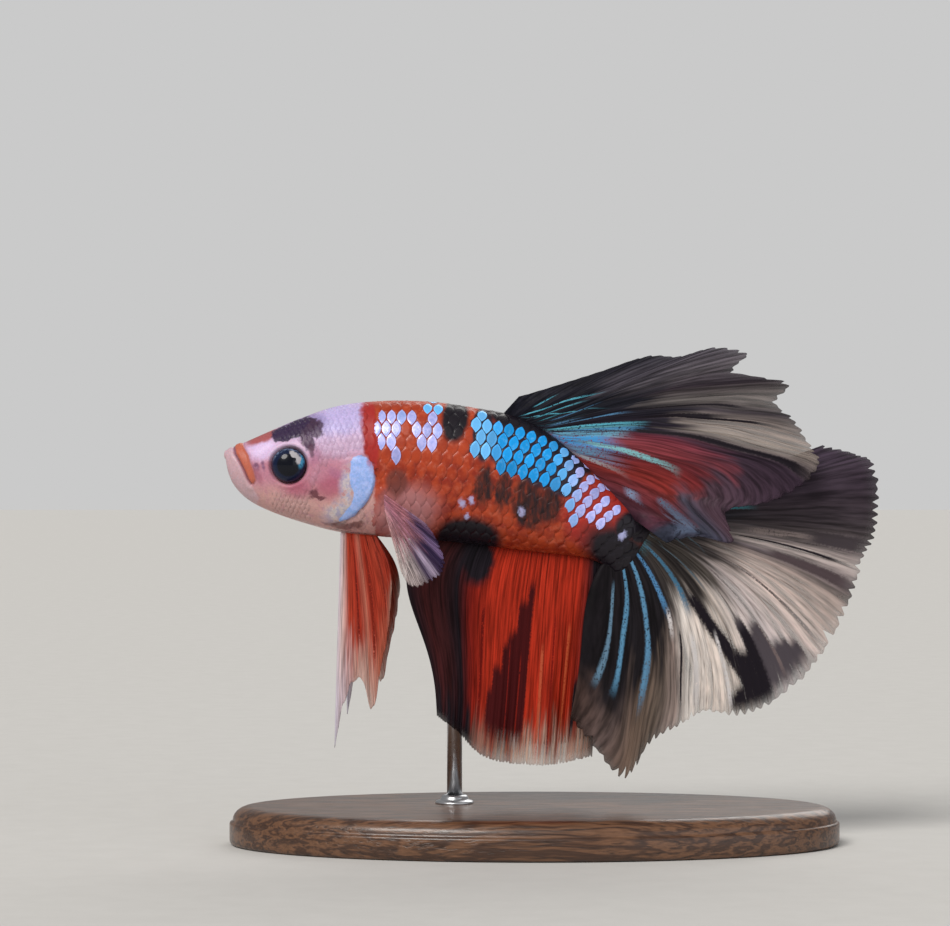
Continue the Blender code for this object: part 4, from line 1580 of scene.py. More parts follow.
@dataclass(frozen=True)
class Fin:
    """A thin rayed fin: a pleated membrane with a fringed edge, and forking rays that stand out of it."""

    name: str
    node: str
    slot: str
    finish: FinFinish
    tips: Line
    main_rays: int
    forks: tuple[float, ...]
    body: Body = field(default_factory=Body)
    columns_per_tip: int = 5
    rows: int = 44
    root_thickness: float = 0.26
    edge_thickness: float = 0.07
    fringe: float = 0.035
    pleat: float = 0.07
    ray_root: float = 0.165
    ray_tip: float = 0.042
    ray_sides: int = 6
    ray_end: float = 0.985
    seed: int = 5
    sweep: float = 0.0           # how strongly the rays start close together and spread to the rear
    sign: float = 1.0            # -1 where the fin stands on the other side of its own bend

    def spread(self, u: np.ndarray) -> np.ndarray:
        """Where the fin's edge lies for rays at u, as x and z."""
        return smooth_rows(self.tips, u * (len(self.tips) - 1))

    def surface(self, u: np.ndarray, v: np.ndarray) -> np.ndarray:
        """The fin's middle surface.

        Args:
            u: Place over the rays, 0 to 1.
            v: Place along the rays, 0 at the root.

        Returns:
            The points, in millimetres.
        """
        u = swept(u, v, self.sweep)
        root = self.root(u)
        side_view = root + (self.tip(u) - root) * v[..., None]
        ahead, aside, up = self.bend(u, v)
        return np.stack([side_view[..., 0] + ahead, self.sign * aside, side_view[..., 1] + up], axis=-1)

    def root(self, u: np.ndarray) -> np.ndarray:
        """Where rays at u leave the body, as x and z."""
        raise NotImplementedError

    def tip(self, u: np.ndarray) -> np.ndarray:
        """Where rays at u end."""
        return self.spread(u)

    def bend(self, u: np.ndarray, v: np.ndarray) -> "tuple[np.ndarray | float, ...]":
        """How far the fin bends to the rear, sideways and upwards."""
        raise NotImplementedError

    def pleated(self, u: np.ndarray, v: np.ndarray) -> np.ndarray:
        """The middle surface with a ridge along each main ray.

        Args:
            u: Place over the rays, 0 to 1.
            v: Place along the rays, 0 at the root.

        Returns:
            The points.
        """
        points = self.surface(u, v)
        ridge = -np.cos(2.0 * np.pi * self.main_rays * u) * np.sqrt(np.clip(v, 0.0, 1.0)) * (1.0 - 0.4 * v)
        fine = -np.cos(2.0 * np.pi * self.tip_count() * u) * v**2
        points[..., 1] += self.pleat * (ridge + 0.6 * fine)
        return points

    def tip_count(self) -> int:
        """How many ray tips the edge has."""
        return self.main_rays * 2 ** len(self.forks)

    def reach(self, u: np.ndarray) -> np.ndarray:
        """Share of its length that the fin has at u: full at ray tips, less between them or where torn.

        Args:
            u: Place over the rays.

        Returns:
            The share.
        """
        chance = np.random.default_rng(self.seed)
        count = self.tip_count()
        depth = self.fringe * chance.uniform(0.5, 1.6, count + 1)
        torn = chance.uniform(0.0, 1.0, count + 1) < 0.1
        depth = np.where(torn, depth * 2.2, depth)
        depth[0] = depth[-1] = 0.0
        short = self.fringe * 0.5 * chance.uniform(0.0, 1.0, count)
        gap = np.clip(np.rint(u * count).astype(int), 0, count)
        ray = np.clip((u * count).astype(int), 0, count - 1)
        wave = (0.5 + 0.5 * np.cos(2.0 * np.pi * count * u)) ** 1.5
        return 1.0 - depth[gap] * wave - short[ray] * (1.0 - wave)

    def fan(self, u: np.ndarray, v: np.ndarray) -> np.ndarray:
        """Shorten v towards the fringed edge."""
        return v * (1.0 - (1.0 - self.reach(u)) * v**5)

    def build(self) -> list[bpy.types.Object]:
        """Build membrane and rays, in place of the fin's solid."""
        return [dress(self.membrane(), self.slot, self.node), dress(self.ray_tubes(), self.slot)]

    def membrane(self) -> bpy.types.Object:
        """The closed thin sheet.

        Returns:
            The membrane.
        """
        columns, rows = self.tip_count() * self.columns_per_tip, self.rows
        u, v = np.meshgrid(np.linspace(0.0, 1.0, columns + 1), np.linspace(0.0, 1.0, rows + 1) ** 0.9)
        v = self.fan(u, v)
        middle = self.pleated(u, v)
        normal = grid_normals(middle)
        half = 0.5 * (self.root_thickness + (self.edge_thickness - self.root_thickness) * v)[..., None]
        points = np.concatenate([middle + normal * half, middle - normal * half]).reshape(-1, 3)
        wide = columns + 1
        number = np.arange((rows + 1) * wide).reshape(rows + 1, wide)
        back = number + number.size
        faces, flat = [], []

        def strip(a: np.ndarray, b: np.ndarray, c: np.ndarray, d: np.ndarray, places: Callable) -> None:
            """Add faces with these corners, each with its place on the unwrap.

            Args:
                a, b, c, d: Point numbers of the faces' corners.
                places: Gives their places.
            """
            corners = np.stack([a, b, c, d], axis=-1).reshape(-1, 4)
            faces.append(corners)
            flat.append(places(corners.ravel() % number.size, corners.ravel() >= number.size))

        across = 0.01 + 0.98 * u.ravel()
        out = v.ravel()

        def face_places(corner: np.ndarray, behind: np.ndarray) -> np.ndarray:
            """Front half below, back half above, mirrored on the fin's edge."""
            low = 0.012 + 0.478 * out[corner]
            return np.stack([across[corner], np.where(behind, 1.0 - low, low)], axis=-1)

        def side_places(corner: np.ndarray, behind: np.ndarray) -> np.ndarray:
            """Narrow strips beside the faces."""
            edge = np.where(across[corner] < 0.5, 0.001, 0.993)
            return np.stack([edge + 0.006 * behind, 0.012 + 0.478 * out[corner]], axis=-1)

        def root_places(corner: np.ndarray, behind: np.ndarray) -> np.ndarray:
            """A narrow strip below the front face."""
            return np.stack([across[corner], 0.001 + 0.006 * behind], axis=-1)

        strip(number[:-1, :-1], number[1:, :-1], number[1:, 1:], number[:-1, 1:], face_places)
        strip(back[:-1, :-1], back[:-1, 1:], back[1:, 1:], back[1:, :-1], face_places)
        strip(number[-1, :-1], back[-1, :-1], back[-1, 1:], number[-1, 1:], face_places)
        strip(number[0, :-1], number[0, 1:], back[0, 1:], back[0, :-1], root_places)
        strip(number[:-1, 0], back[:-1, 0], back[1:, 0], number[1:, 0], side_places)
        strip(number[:-1, -1], number[1:, -1], back[1:, -1], back[:-1, -1], side_places)
        sheet = add_mesh(f"{self.name}_membrane", points, np.concatenate(faces).tolist(), self.finish.make())
        fan = np.stack([u.ravel(), v.ravel(), np.zeros(u.size)], axis=-1)
        add_values(sheet.data, "fan", np.concatenate([fan, fan]))
        add_map(sheet.data, "OFBake", np.concatenate(flat))
        return sheet

    def ray_lines(self) -> tuple[np.ndarray, list[tuple[int, int]]]:
        """Lines of all rays and their branches.

        Returns:
            u, v and thickness of each point, and the edges between them.
        """
        territory = 1.0 / self.main_rays
        stops = (0.0, *self.forks, self.ray_end)
        places, edges = [], []
        for level in range(len(stops) - 1):
            for branch in range(self.main_rays * 2**level):
                reach = stops[level + 1] - stops[level]
                v = np.arange(stops[level], stops[level + 1] + 0.001, reach / max(3, round(reach / 0.05)))
                u = np.full(len(v), (branch // 2**level + 0.5) * territory)
                for fork in range(level):
                    side = 1 if (branch >> (level - fork - 1)) & 1 else -1
                    start = self.forks[fork]
                    u += side * territory / 2 ** (fork + 2) * rise(v, start, start + 0.6 * (1.0 - start))
                ends = self.fan(u, v)
                thick = (self.ray_root + (self.ray_tip - self.ray_root) * v**0.7) * 0.9**level
                first = len(places)
                places += list(zip(u, ends, thick))
                edges += [(first + k, first + k + 1) for k in range(len(v) - 1)]
        return np.array(places), edges

    def ray_tubes(self) -> bpy.types.Object:
        """Tapered tubes along the rays, made by Geometry Nodes from their lines.

        Returns:
            The rays.
        """
        places, edges = self.ray_lines()
        mesh = bpy.data.meshes.new(f"{self.name}_lines")
        points = self.pleated(places[:, 0], places[:, 1])
        mesh.from_pydata((points * MM).tolist(), edges, [])
        add_values(mesh, "thick", places[:, 2] * MM)
        add_values(mesh, "fan", np.column_stack([places[:, :2], np.zeros(len(places))]))
        base = add_object(f"{self.name}_lines", mesh)
        finish = self.finish.make(rays=True)
        tubes = self.ray_tree().apply(f"{self.name}_rays", base, Sides=self.ray_sides, Finish=finish)
        tubes.data.materials.clear()
        tubes.data.materials.append(finish)
        fan = corner_values(tubes.data, "fan")
        around = corner_values(tubes.data, "around")[:, 0] / self.ray_sides
        width = 0.6 / self.tip_count()
        places = [0.01 + 0.97 * fan[:, 0] + width * around, 0.01 + 0.98 * fan[:, 1]]
        add_map(tubes.data, "OFBake", np.column_stack(places))
        return tubes

    def ray_tree(self) -> Tree:
        """The tree that turns lines into tubes.

        Returns:
            The tree.
        """
        tree = Tree(f"{self.name}_rays", Sides="Int", Finish="Material")
        ring = tree.node("GeometryNodeCurvePrimitiveCircle", {"mode": "RADIUS"},
                         {"Resolution": tree.entry.outputs["Sides"], "Radius": 1.0})
        number = tree.node("GeometryNodeInputIndex")
        marked = tree.node("GeometryNodeStoreNamedAttribute", {"data_type": "FLOAT", "domain": "POINT"},
                           {"Geometry": ring.outputs[0], "Name": "around", "Value": number.outputs[0]})
        lines = tree.node("GeometryNodeMeshToCurve", None, {"Mesh": tree.entry.outputs["Geometry"]})
        tubes = tree.node("GeometryNodeCurveToMesh", None, {
            "Curve": lines.outputs[0], "Profile Curve": marked.outputs[0],
            "Scale": tree.named("thick", "FLOAT"), "Fill Caps": True})
        smooth = tree.node("GeometryNodeSetShadeSmooth", None, {"Geometry": tubes.outputs[0]})
        tree.close(smooth.outputs[0])
        return tree


def folded(u: np.ndarray, v: np.ndarray, folds: float, height: float, start: float = 0.0) -> np.ndarray:
    """Sideways wave of a fin, growing from its base to its edge."""
    return height * np.clip(v, 0.0, None) ** 1.4 * np.sin(2.0 * np.pi * (folds * u + start))


def along_line(line: Line, share: np.ndarray) -> np.ndarray:
    """Points along the straight line between two ends, as x and z."""
    return np.array(line[0]) + np.subtract(line[1], line[0]) * share[..., None]


def early_bow(v: np.ndarray) -> np.ndarray:
    """A bow that is 0 at both ends and 1 a quarter of the way along."""
    return v * (1.0 - v) ** 3 * 256.0 / 27.0


def swept(u: np.ndarray, v: np.ndarray, amount: float) -> np.ndarray:
    """Where over the fin a ray runs: rays leave the root close together and spread towards the rear edge."""
    return u - amount * 2.0 * u**1.5 * np.sqrt(1.0 - u**3) * (1.0 - np.sqrt(np.clip(v, 0.0, 1.0)))


@dataclass(frozen=True)
class DorsalFin(Fin):
    """Fin of the back, whose rear part leans to the left across the tail fin."""

    ribs: tuple[float, float] = (9.72, 13.93)
    sunk: float = -0.45
    sweep: float = 0.53

    def root(self, u: np.ndarray) -> np.ndarray:
        """A line along the back, just inside the skin."""
        return self.body.outside(self.ribs[0] + (self.ribs[1] - self.ribs[0]) * u**0.9, 0.0, self.sunk)

    def bend(self, u: np.ndarray, v: np.ndarray) -> "tuple[np.ndarray | float, ...]":
        """Leaning to the left, most behind, and bowed upwards."""
        return 0.0, -(0.3 + 3.2 * u) * v + folded(u, v, 2.6, 0.7, 0.1), 8.0 * u * (1 - u) * v * (1 - v)


@dataclass(frozen=True)
class AnalFin(Fin):
    """Long fin under the belly, in soft hanging folds."""

    ribs: tuple[float, float] = (8.02, 13.6)
    sunk: float = -0.45
    bow: float = 2.6

    def root(self, u: np.ndarray) -> np.ndarray:
        """A line along the belly, just inside the skin."""
        return self.body.outside(self.ribs[0] + (self.ribs[1] - self.ribs[0]) * u, np.pi, self.sunk)

    def bend(self, u: np.ndarray, v: np.ndarray) -> "tuple[np.ndarray | float, ...]":
        """Bowed forwards in front, a little to the right behind."""
        aside = u**2 * (0.25 + 0.7 * v) + folded(u, v, 3.3, 0.75, 0.45)
        return -self.bow * (1 - u) ** 3 * early_bow(v), aside, 0.0


@dataclass(frozen=True)
class TailFin(Fin):
    """Tail fin: a wide fan, its top behind the back fin and its lowest lobe before the anal fin."""

    sunk: float = -1.0
    root_span: tuple[float, float] = (0.12, 0.8)
    sweep: float = 0.49

    def root(self, u: np.ndarray) -> np.ndarray:
        """A line down the tail's end, inside the skin.

        Args:
            u: Place over the rays.

        Returns:
            The line's points, as x and z.
        """
        end = self.body.ribs[self.body.tail_base]
        high, low = np.array(end[0:2]), np.array(end[2:4])
        run = low - high
        away = np.array((-run[1], run[0])) / np.linalg.norm(run) * self.sunk
        return high + run * (self.root_span[0] + self.root_span[1] * u[..., None]) + away

    def bend(self, u: np.ndarray, v: np.ndarray) -> "tuple[np.ndarray | float, ...]":
        """Top to the right and lowest lobe to the left, which also bows forwards."""
        lean = (1.0 - 2.0 * u) * (0.25 + 2.0 * v)
        return -0.9 * u**6 * early_bow(v), lean + folded(u, v, 4.2, 0.85, 0.2), 0.0


@dataclass(frozen=True)
class PelvicFin(Fin):
    """One of the two long narrow fins under the throat."""

    sign: float = -1.0
    back: float = 0.0
    shorten: float = 1.0
    base: Line = ((-22.31, 31.8), (-18.63, 31.45))
    sunk: float = 0.9

    def root(self, u: np.ndarray) -> np.ndarray:
        """A line inside the throat."""
        return along_line(self.base, u) + np.array((0.0, self.sunk))

    def tip(self, u: np.ndarray) -> np.ndarray:
        """Where rays at u end, drawn in for a shorter fin."""
        outer = along_line(self.base, u)
        return outer + (self.spread(u) - outer) * self.shorten

    def bend(self, u: np.ndarray, v: np.ndarray) -> "tuple[np.ndarray | float, ...]":
        """Away from the body and a little to the rear."""
        aside = 1.15 + 2.0 * v + 0.8 * u * v + folded(u, v, 1.0, 0.35)
        return 0.6 * np.sin(np.pi * v) * u + self.back * v, aside, 0.0


@dataclass(frozen=True)
class PectoralFin(Fin):
    """One of the two short fans behind the gill covers, held out from the body."""

    sign: float = -1.0
    base: Line = PECTORAL_PAD

    def root(self, u: np.ndarray) -> np.ndarray:
        """The line of the pad on the body."""
        return along_line(self.base, u)

    def bend(self, u: np.ndarray, v: np.ndarray) -> "tuple[np.ndarray | float, ...]":
        """Out from the body, steeply at first."""
        return 0.0, 4.05 + 0.7 * rise(v, 0.0, 0.25) - 0.25 * u + 2.75 * v + folded(u, v, 1.5, 0.25), 0.0


FIN_BLACK = (0.012, 0.009, 0.013)


class FinSet:
    """All the fins with their own colours."""

    def build(self) -> list[bpy.types.Object]:
        """Build every fin.

        Returns:
            The pieces.
        """
        built = []
        for fin in (self.dorsal(), self.anal(), self.tail(), *self.pelvics(), *self.pectorals()):
            pieces = fin.build()
            built += pieces
            report(pieces)
        return built

    def dorsal(self) -> Fin:
        """The back fin.

        Returns:
            The fin.
        """
        cyan, steel, blue = (0.1, 0.4, 0.52), (0.1, 0.26, 0.46), (0.06, 0.33, 0.68)
        finish = FinFinish(
            "dorsal", change=(0.4, 0.68),
            inner=(
                (0.0, 0.008, 0.008, 0.014), (0.45, 0.012, 0.012, 0.018), (0.7, 0.02, 0.015, 0.025),
                (0.75, 0.17, 0.03, 0.045), (0.8, 0.21, 0.04, 0.05), (0.86, 0.12, 0.018, 0.022),
                (0.93, 0.2, 0.024, 0.02), (1.0, 0.06, 0.025, 0.04)),
            outer=(
                (0.0, 0.01, 0.01, 0.016), (0.17, 0.014, 0.013, 0.02), (0.27, 0.085, 0.075, 0.095, 0.95),
                (0.36, 0.115, 0.1, 0.115, 0.9), (0.43, 0.03, 0.022, 0.03), (0.5, 0.15, 0.13, 0.125, 0.8),
                (0.55, 0.035, 0.028, 0.035), (0.61, 0.27, 0.22, 0.2, 0.7), (0.66, 0.31, 0.26, 0.23, 0.65),
                (0.69, 0.16, 0.13, 0.13, 0.9), (0.72, 0.035, 0.022, 0.035), (0.8, 0.045, 0.026, 0.04),
                (0.88, 0.075, 0.042, 0.058, 0.95), (0.93, 0.05, 0.05, 0.075, 0.9),
                (1.0, 0.028, 0.032, 0.05, 0.95)),
            streaks=(
                Streak(0.085, 0.115, 0.009, 0.3, 0.52, cyan), Streak(0.06, 0.5, 0.014, 0.1, 0.45, cyan),
                Streak(0.05, 1.4, 0.014, 0.08, 0.28, cyan), Streak(0.36, 0.4, 0.01, 0.12, 0.32, steel),
                Streak(0.46, 0.45, 0.008, 0.05, 0.2, cyan), Streak(0.54, 0.54, 0.0145, 0.045, 0.38, steel),
                Streak(0.66, 0.68, 0.0148, 0.02, 0.33, (0.14, 0.36, 0.42)),
                Streak(0.79, 0.79, 0.095, 0.01, 0.22, blue), Streak(0.635, 0.665, 0.022, 0.04, 0.36, cyan),
                Streak(0.685, 0.7, 0.024, 0.08, 0.36, (0.08, 0.28, 0.5)),
                Streak(0.885, 0.9, 0.04, 0.01, 0.17, (0.12, 0.24, 0.38)),
                Streak(0.2, 0.42, 0.011, 0.1, 0.34, cyan), Streak(0.3, 0.33, 0.01, 0.08, 0.18, cyan),
                Streak(0.5, 0.5, 0.012, 0.08, 0.17, steel),
                Streak(0.74, 0.72, 0.04, 0.02, 0.28, (0.16, 0.42, 0.58)),
                Streak(0.8, 1.0, 0.02, 0.08, 0.38, (0.2, 0.46, 0.5)),
                Streak(0.9, 1.15, 0.012, 0.02, 0.14, (0.3, 0.3, 0.32)),
                Streak(0.595, 0.59, 0.007, 0.45, 0.9, FIN_BLACK, False),
                Streak(0.7, 0.705, 0.0148, 0.3, 0.98, FIN_BLACK, False),
                Streak(0.53, 0.53, 0.006, 0.4, 0.85, FIN_BLACK, False),
                Streak(0.62, 0.56, 0.0148, 0.36, 0.75, FIN_BLACK, False),
                Streak(0.97, 0.99, 0.01, 0.14, 0.24, (0.2, 0.3, 0.46)),
                Streak(0.96, 0.97, 0.022, 0.4, 0.9, (0.1, 0.13, 0.2))))
        return DorsalFin("back_fin", "dorsal_fin", "dorsal_membrane", finish, (
            (-3.62, 46.95), (0.79, 48.27), (5.41, 49.74), (9.92, 51.21), (13.28, 51.16), (16.8, 52.05),
            (20.3, 51.4), (19.0, 49.6), (24.6, 48.4), (23.4, 46.3), (25.2, 44.49), (26.72, 41.97),
            (27.77, 39.97), (25.88, 37.56), (22.21, 35.77), (18.1, 34.9), (18.7, 31.7), (15.07, 32.3),
            (11.6, 31.7)), main_rays=14, forks=(0.3, 0.58), fringe=0.02)

    def anal(self) -> Fin:
        """The fin under the belly.

        Returns:
            The fin.
        """
        red, wine = (0.36, 0.024, 0.01), (0.06, 0.006, 0.007)
        finish = FinFinish(
            "anal", change=(0.72, 1.02), hem=(0.93, 0.7),
            patches=((Patch(-7.9, 29.8, 1.6, 2.7, -8, 0.3), FIN_BLACK, 1.0),),
            inner=(
                (0.0, *FIN_BLACK), (0.06, 0.045, 0.01, 0.011), (0.13, 0.04, 0.01, 0.011), (0.2, *FIN_BLACK),
                (0.27, 0.2, 0.013, 0.008), (0.36, *red), (0.6, *red), (0.84, *red), (0.93, *FIN_BLACK),
                (1.0, *FIN_BLACK)),
            outer=(
                (0.0, *FIN_BLACK), (0.26, *FIN_BLACK), (0.34, 0.22, 0.1, 0.075, 0.85),
                (0.5, 0.34, 0.17, 0.1, 0.55), (0.68, 0.46, 0.3, 0.22, 0.45), (0.86, 0.38, 0.2, 0.13, 0.5),
                (1.0, 0.14, 0.07, 0.05, 0.8)),
            streaks=(
                *wedge(0.575, 0.395, 0.0225, 0.16, 0.66, 0.92, wine),
                Streak(0.475, 0.475, 0.004, 0.45, 0.95, (0.2, 0.012, 0.008)),
                Streak(0.54, 0.535, 0.005, 0.5, 0.95, (0.22, 0.014, 0.008)),
                Streak(0.335, 0.32, 0.01, 0.3, 0.9, (0.14, 0.008, 0.006)),
                Streak(0.72, 0.73, 0.01, 0.3, 1.0, (0.2, 0.01, 0.006)),
                Streak(0.655, 0.665, 0.01, 0.45, 1.0, (0.48, 0.09, 0.04)),
                Streak(0.82, 0.8, 0.01, 0.35, 1.0, (0.48, 0.08, 0.03)),
                Streak(0.9, 0.86, 0.012, 0.6, 0.9, FIN_BLACK, False)))
        return AnalFin("anal_fin_web", "anal_fin", "anal_membrane", finish, (
            (-12.23, 13.41), (-10.24, 11.83), (-8.14, 9.63), (-5.09, 8.37), (-1.94, 8.16), (0.89, 8.26),
            (4.04, 9.1)), main_rays=27, forks=(0.62,), fringe=0.01, ray_end=0.9)

    def tail(self) -> Fin:
        """The tail fin.

        Returns:
            The fin.
        """
        # pale is the colour of painted highlights along the tail's rays
        steel, pale, thin = (0.1, 0.26, 0.42), (0.66, 0.62, 0.62), (0.14, 0.22, 0.28)
        finish = FinFinish(
            "tail", change=(0.32, 0.58), hem=(0.92, 0.75), late=(0.77, 0.84, 0.24),
            inner=(
                (0.0, 0.05, 0.022, 0.032), (0.25, 0.045, 0.045, 0.055), (0.45, 0.09, 0.075, 0.075),
                (0.56, 0.1, 0.085, 0.075), (0.63, 0.03, 0.025, 0.025), (0.71, 0.06, 0.05, 0.045),
                (0.8, 0.012, 0.01, 0.012), (1.0, 0.01, 0.008, 0.01)),
            outer=(
                (0.0, 0.05, 0.035, 0.055), (0.16, 0.045, 0.032, 0.045), (0.25, 0.05, 0.04, 0.045),
                (0.305, 0.16, 0.13, 0.13, 0.85), (0.33, 0.42, 0.35, 0.33, 0.65), (0.365, 0.1, 0.08, 0.09),
                (0.4, 0.36, 0.28, 0.25, 0.65), (0.46, 0.62, 0.5, 0.46, 0.6), (0.53, 0.54, 0.46, 0.46, 0.55),
                (0.61, 0.52, 0.44, 0.39, 0.6), (0.68, 0.74, 0.64, 0.58, 0.55), (0.73, 0.64, 0.58, 0.54, 0.55),
                (0.77, 0.25, 0.19, 0.17, 0.85), (0.82, 0.1, 0.075, 0.06, 0.95), (0.88, 0.15, 0.1, 0.075, 0.9),
                (0.94, 0.1, 0.07, 0.065, 0.95), (1.0, 0.06, 0.035, 0.03)),
            streaks=(
                Streak(0.965, 0.995, 0.005, 0.17, 0.68, (0.12, 0.22, 0.32)),
                Streak(0.915, 0.98, 0.0095, 0.1, 0.62, steel),
                Streak(0.868, 0.868, 0.013, 0.08, 0.8, (0.11, 0.27, 0.44)),
                Streak(0.82, 0.72, 0.0145, 0.09, 0.42, (0.08, 0.22, 0.42)),
                # painted highlight: a white streak where this ray catches the light
                Streak(0.775, 0.775, 0.01, 0.4, 0.55, pale),
                Streak(0.7, 0.7, 0.0145, 0.13, 0.46, (0.06, 0.17, 0.28)),
                Streak(0.604, 0.604, 0.006, 0.19, 0.44, (0.14, 0.19, 0.23)),
                Streak(0.4, 1.4, 0.007, 0.1, 0.2, thin), Streak(0.32, 0.927, 0.007, 0.18, 0.31, thin),
                Streak(0.202, 0.948, 0.007, 0.21, 0.36, thin),
                Streak(0.145, 0.24, 0.012, 0.34, 0.5, (0.08, 0.4, 0.48)),
                Streak(0.7, 0.72, 0.09, 0.04, 0.13, (0.05, 0.3, 0.4)),
                Streak(0.31, 0.33, 0.004, 0.45, 0.95, FIN_BLACK, False),
                Streak(0.455, 0.46, 0.004, 0.45, 0.95, (0.14, 0.1, 0.1)),
                # painted highlight along a ray in the pale wedge
                Streak(0.71, 0.71, 0.01, 0.55, 0.96, pale),
                Streak(0.75, 0.56, 0.022, 0.38, 0.98, FIN_BLACK, False),
                *wedge(0.58, 0.495, 0.0145, 0.6, 0.92, 1.0, (0.072, 0.06, 0.07)),
                *wedge(0.58, 0.64, 0.0145, 0.64, 0.88, 1.02, FIN_BLACK),
                Streak(0.28, 0.28, 0.026, 0.74, 1.02, (0.05, 0.04, 0.045), False),
                Streak(0.362, 0.362, 0.014, 0.62, 1.0, (0.07, 0.05, 0.055), False),
                Streak(0.285, 0.285, 0.016, 0.5, 0.76, (0.24, 0.19, 0.18)),
                # painted highlight along a ray in the pale wedge
                Streak(0.645, 0.635, 0.006, 0.6, 0.97, pale),
                Streak(0.53, 0.53, 0.004, 0.4, 0.95, (0.16, 0.12, 0.12)),
                Streak(0.74, 0.755, 0.004, 0.5, 0.95, FIN_BLACK, False)))
        return TailFin("tail_fan", "caudal_fin", "caudal_membrane", finish, (
            (28.61, 41.86), (31.97, 41.02), (33.86, 39.87), (34.49, 36.09), (34.07, 32.41), (32.6, 29.58),
            (31.45, 25.9), (29.45, 21.6), (26.72, 17.61), (22.84, 14.67), (19.16, 13.51), (15.8, 13.83),
            (13.28, 12.36), (10.13, 10.68), (7.4, 7.0), (4.46, 9.84), (1.73, 13.3)),
            main_rays=17, forks=(0.28, 0.55), fringe=0.02)

    def pelvics(self) -> tuple[Fin, ...]:
        """The two fins under the throat.

        Returns:
            The fins.
        """
        finish = FinFinish(
            "pelvic", change=(0.55, 0.95), hem=(0.8, 0.7),
            inner=(
                (0.0, 0.6, 0.52, 0.58), (0.09, 0.52, 0.36, 0.34), (0.19, 0.34, 0.04, 0.02),
                (0.34, 0.32, 0.026, 0.012), (0.46, 0.44, 0.13, 0.09), (0.57, 0.31, 0.028, 0.013),
                (0.78, 0.3, 0.036, 0.018), (1.0, 0.25, 0.026, 0.014)),
            outer=(
                (0.0, 0.56, 0.52, 0.62), (0.26, 0.46, 0.24, 0.2, 0.9), (0.46, 0.58, 0.38, 0.32, 0.85),
                (0.62, 0.38, 0.1, 0.06, 0.95), (0.8, 0.36, 0.075, 0.045, 0.95),
                (1.0, 0.42, 0.24, 0.19, 0.85)),
            streaks=(
                Streak(0.33, 0.3, 0.022, 0.1, 0.75, (0.14, 0.012, 0.008)),
                Streak(0.62, 0.55, 0.03, 0.12, 0.8, (0.16, 0.014, 0.008)),
                Streak(0.85, 0.8, 0.02, 0.15, 0.85, (0.15, 0.014, 0.008)),
                Streak(0.5, 0.45, 0.012, 0.2, 0.9, (0.5, 0.18, 0.12))))
        shared = dict(finish=finish, tips=((-22.84, 10.36), (-21.5, 15.93), (-19.99, 17.19), (-18.85, 14.04),
                                           (-17.9, 19.08), (-17.27, 22.44), (-16.96, 26.11)),
                      main_rays=5, forks=(0.45,), slot="pelvic_membrane", columns_per_tip=8)
        return (PelvicFin("pelvic_web_left", "pelvic_fin_left", **shared),
                PelvicFin("pelvic_web_right", "pelvic_fin_right", sign=1.0, back=1.0, shorten=0.86, **shared))

    def pectorals(self) -> tuple[Fin, ...]:
        """The two fins behind the gill covers.

        Returns:
            The fins.
        """
        finish = FinFinish(
            "pectoral", change=(0.36, 0.7), ray_shade=(1.0, 1.4), hem=(0.9, 0.5),
            inner=(
                (0.0, 0.4, 0.16, 0.19, 0.4), (0.5, 0.34, 0.15, 0.2, 0.28), (1.0, 0.5, 0.28, 0.28, 0.2)),
            outer=(
                (0.0, 0.3, 0.18, 0.28, 0.7), (0.12, 0.13, 0.07, 0.15, 0.85), (0.2, 0.03, 0.018, 0.055, 0.97),
                (0.31, 0.24, 0.16, 0.32, 0.85), (0.39, 0.026, 0.016, 0.05, 0.97),
                (0.5, 0.04, 0.024, 0.06, 0.95), (0.56, 0.4, 0.32, 0.44, 0.75),
                (0.63, 0.05, 0.032, 0.07, 0.92), (0.72, 0.48, 0.4, 0.4, 0.4), (1.0, 0.55, 0.46, 0.44, 0.3)))
        shared = dict(finish=finish, tips=((-13.18, 33.65), (-12.0, 31.8), (-11.29, 29.4), (-12.4, 27.85),
                                           (-14.65, 27.16), (-15.8, 28.62)),
                      main_rays=11, forks=(0.55,), slot="pectoral_membrane", rows=30,
                      ray_root=0.15, ray_tip=0.035)
        return (PectoralFin("pectoral_web_left", "pectoral_fin_left", **shared),
                PectoralFin("pectoral_web_right", "pectoral_fin_right", sign=1.0, **shared))


# --- Stand and studio ---

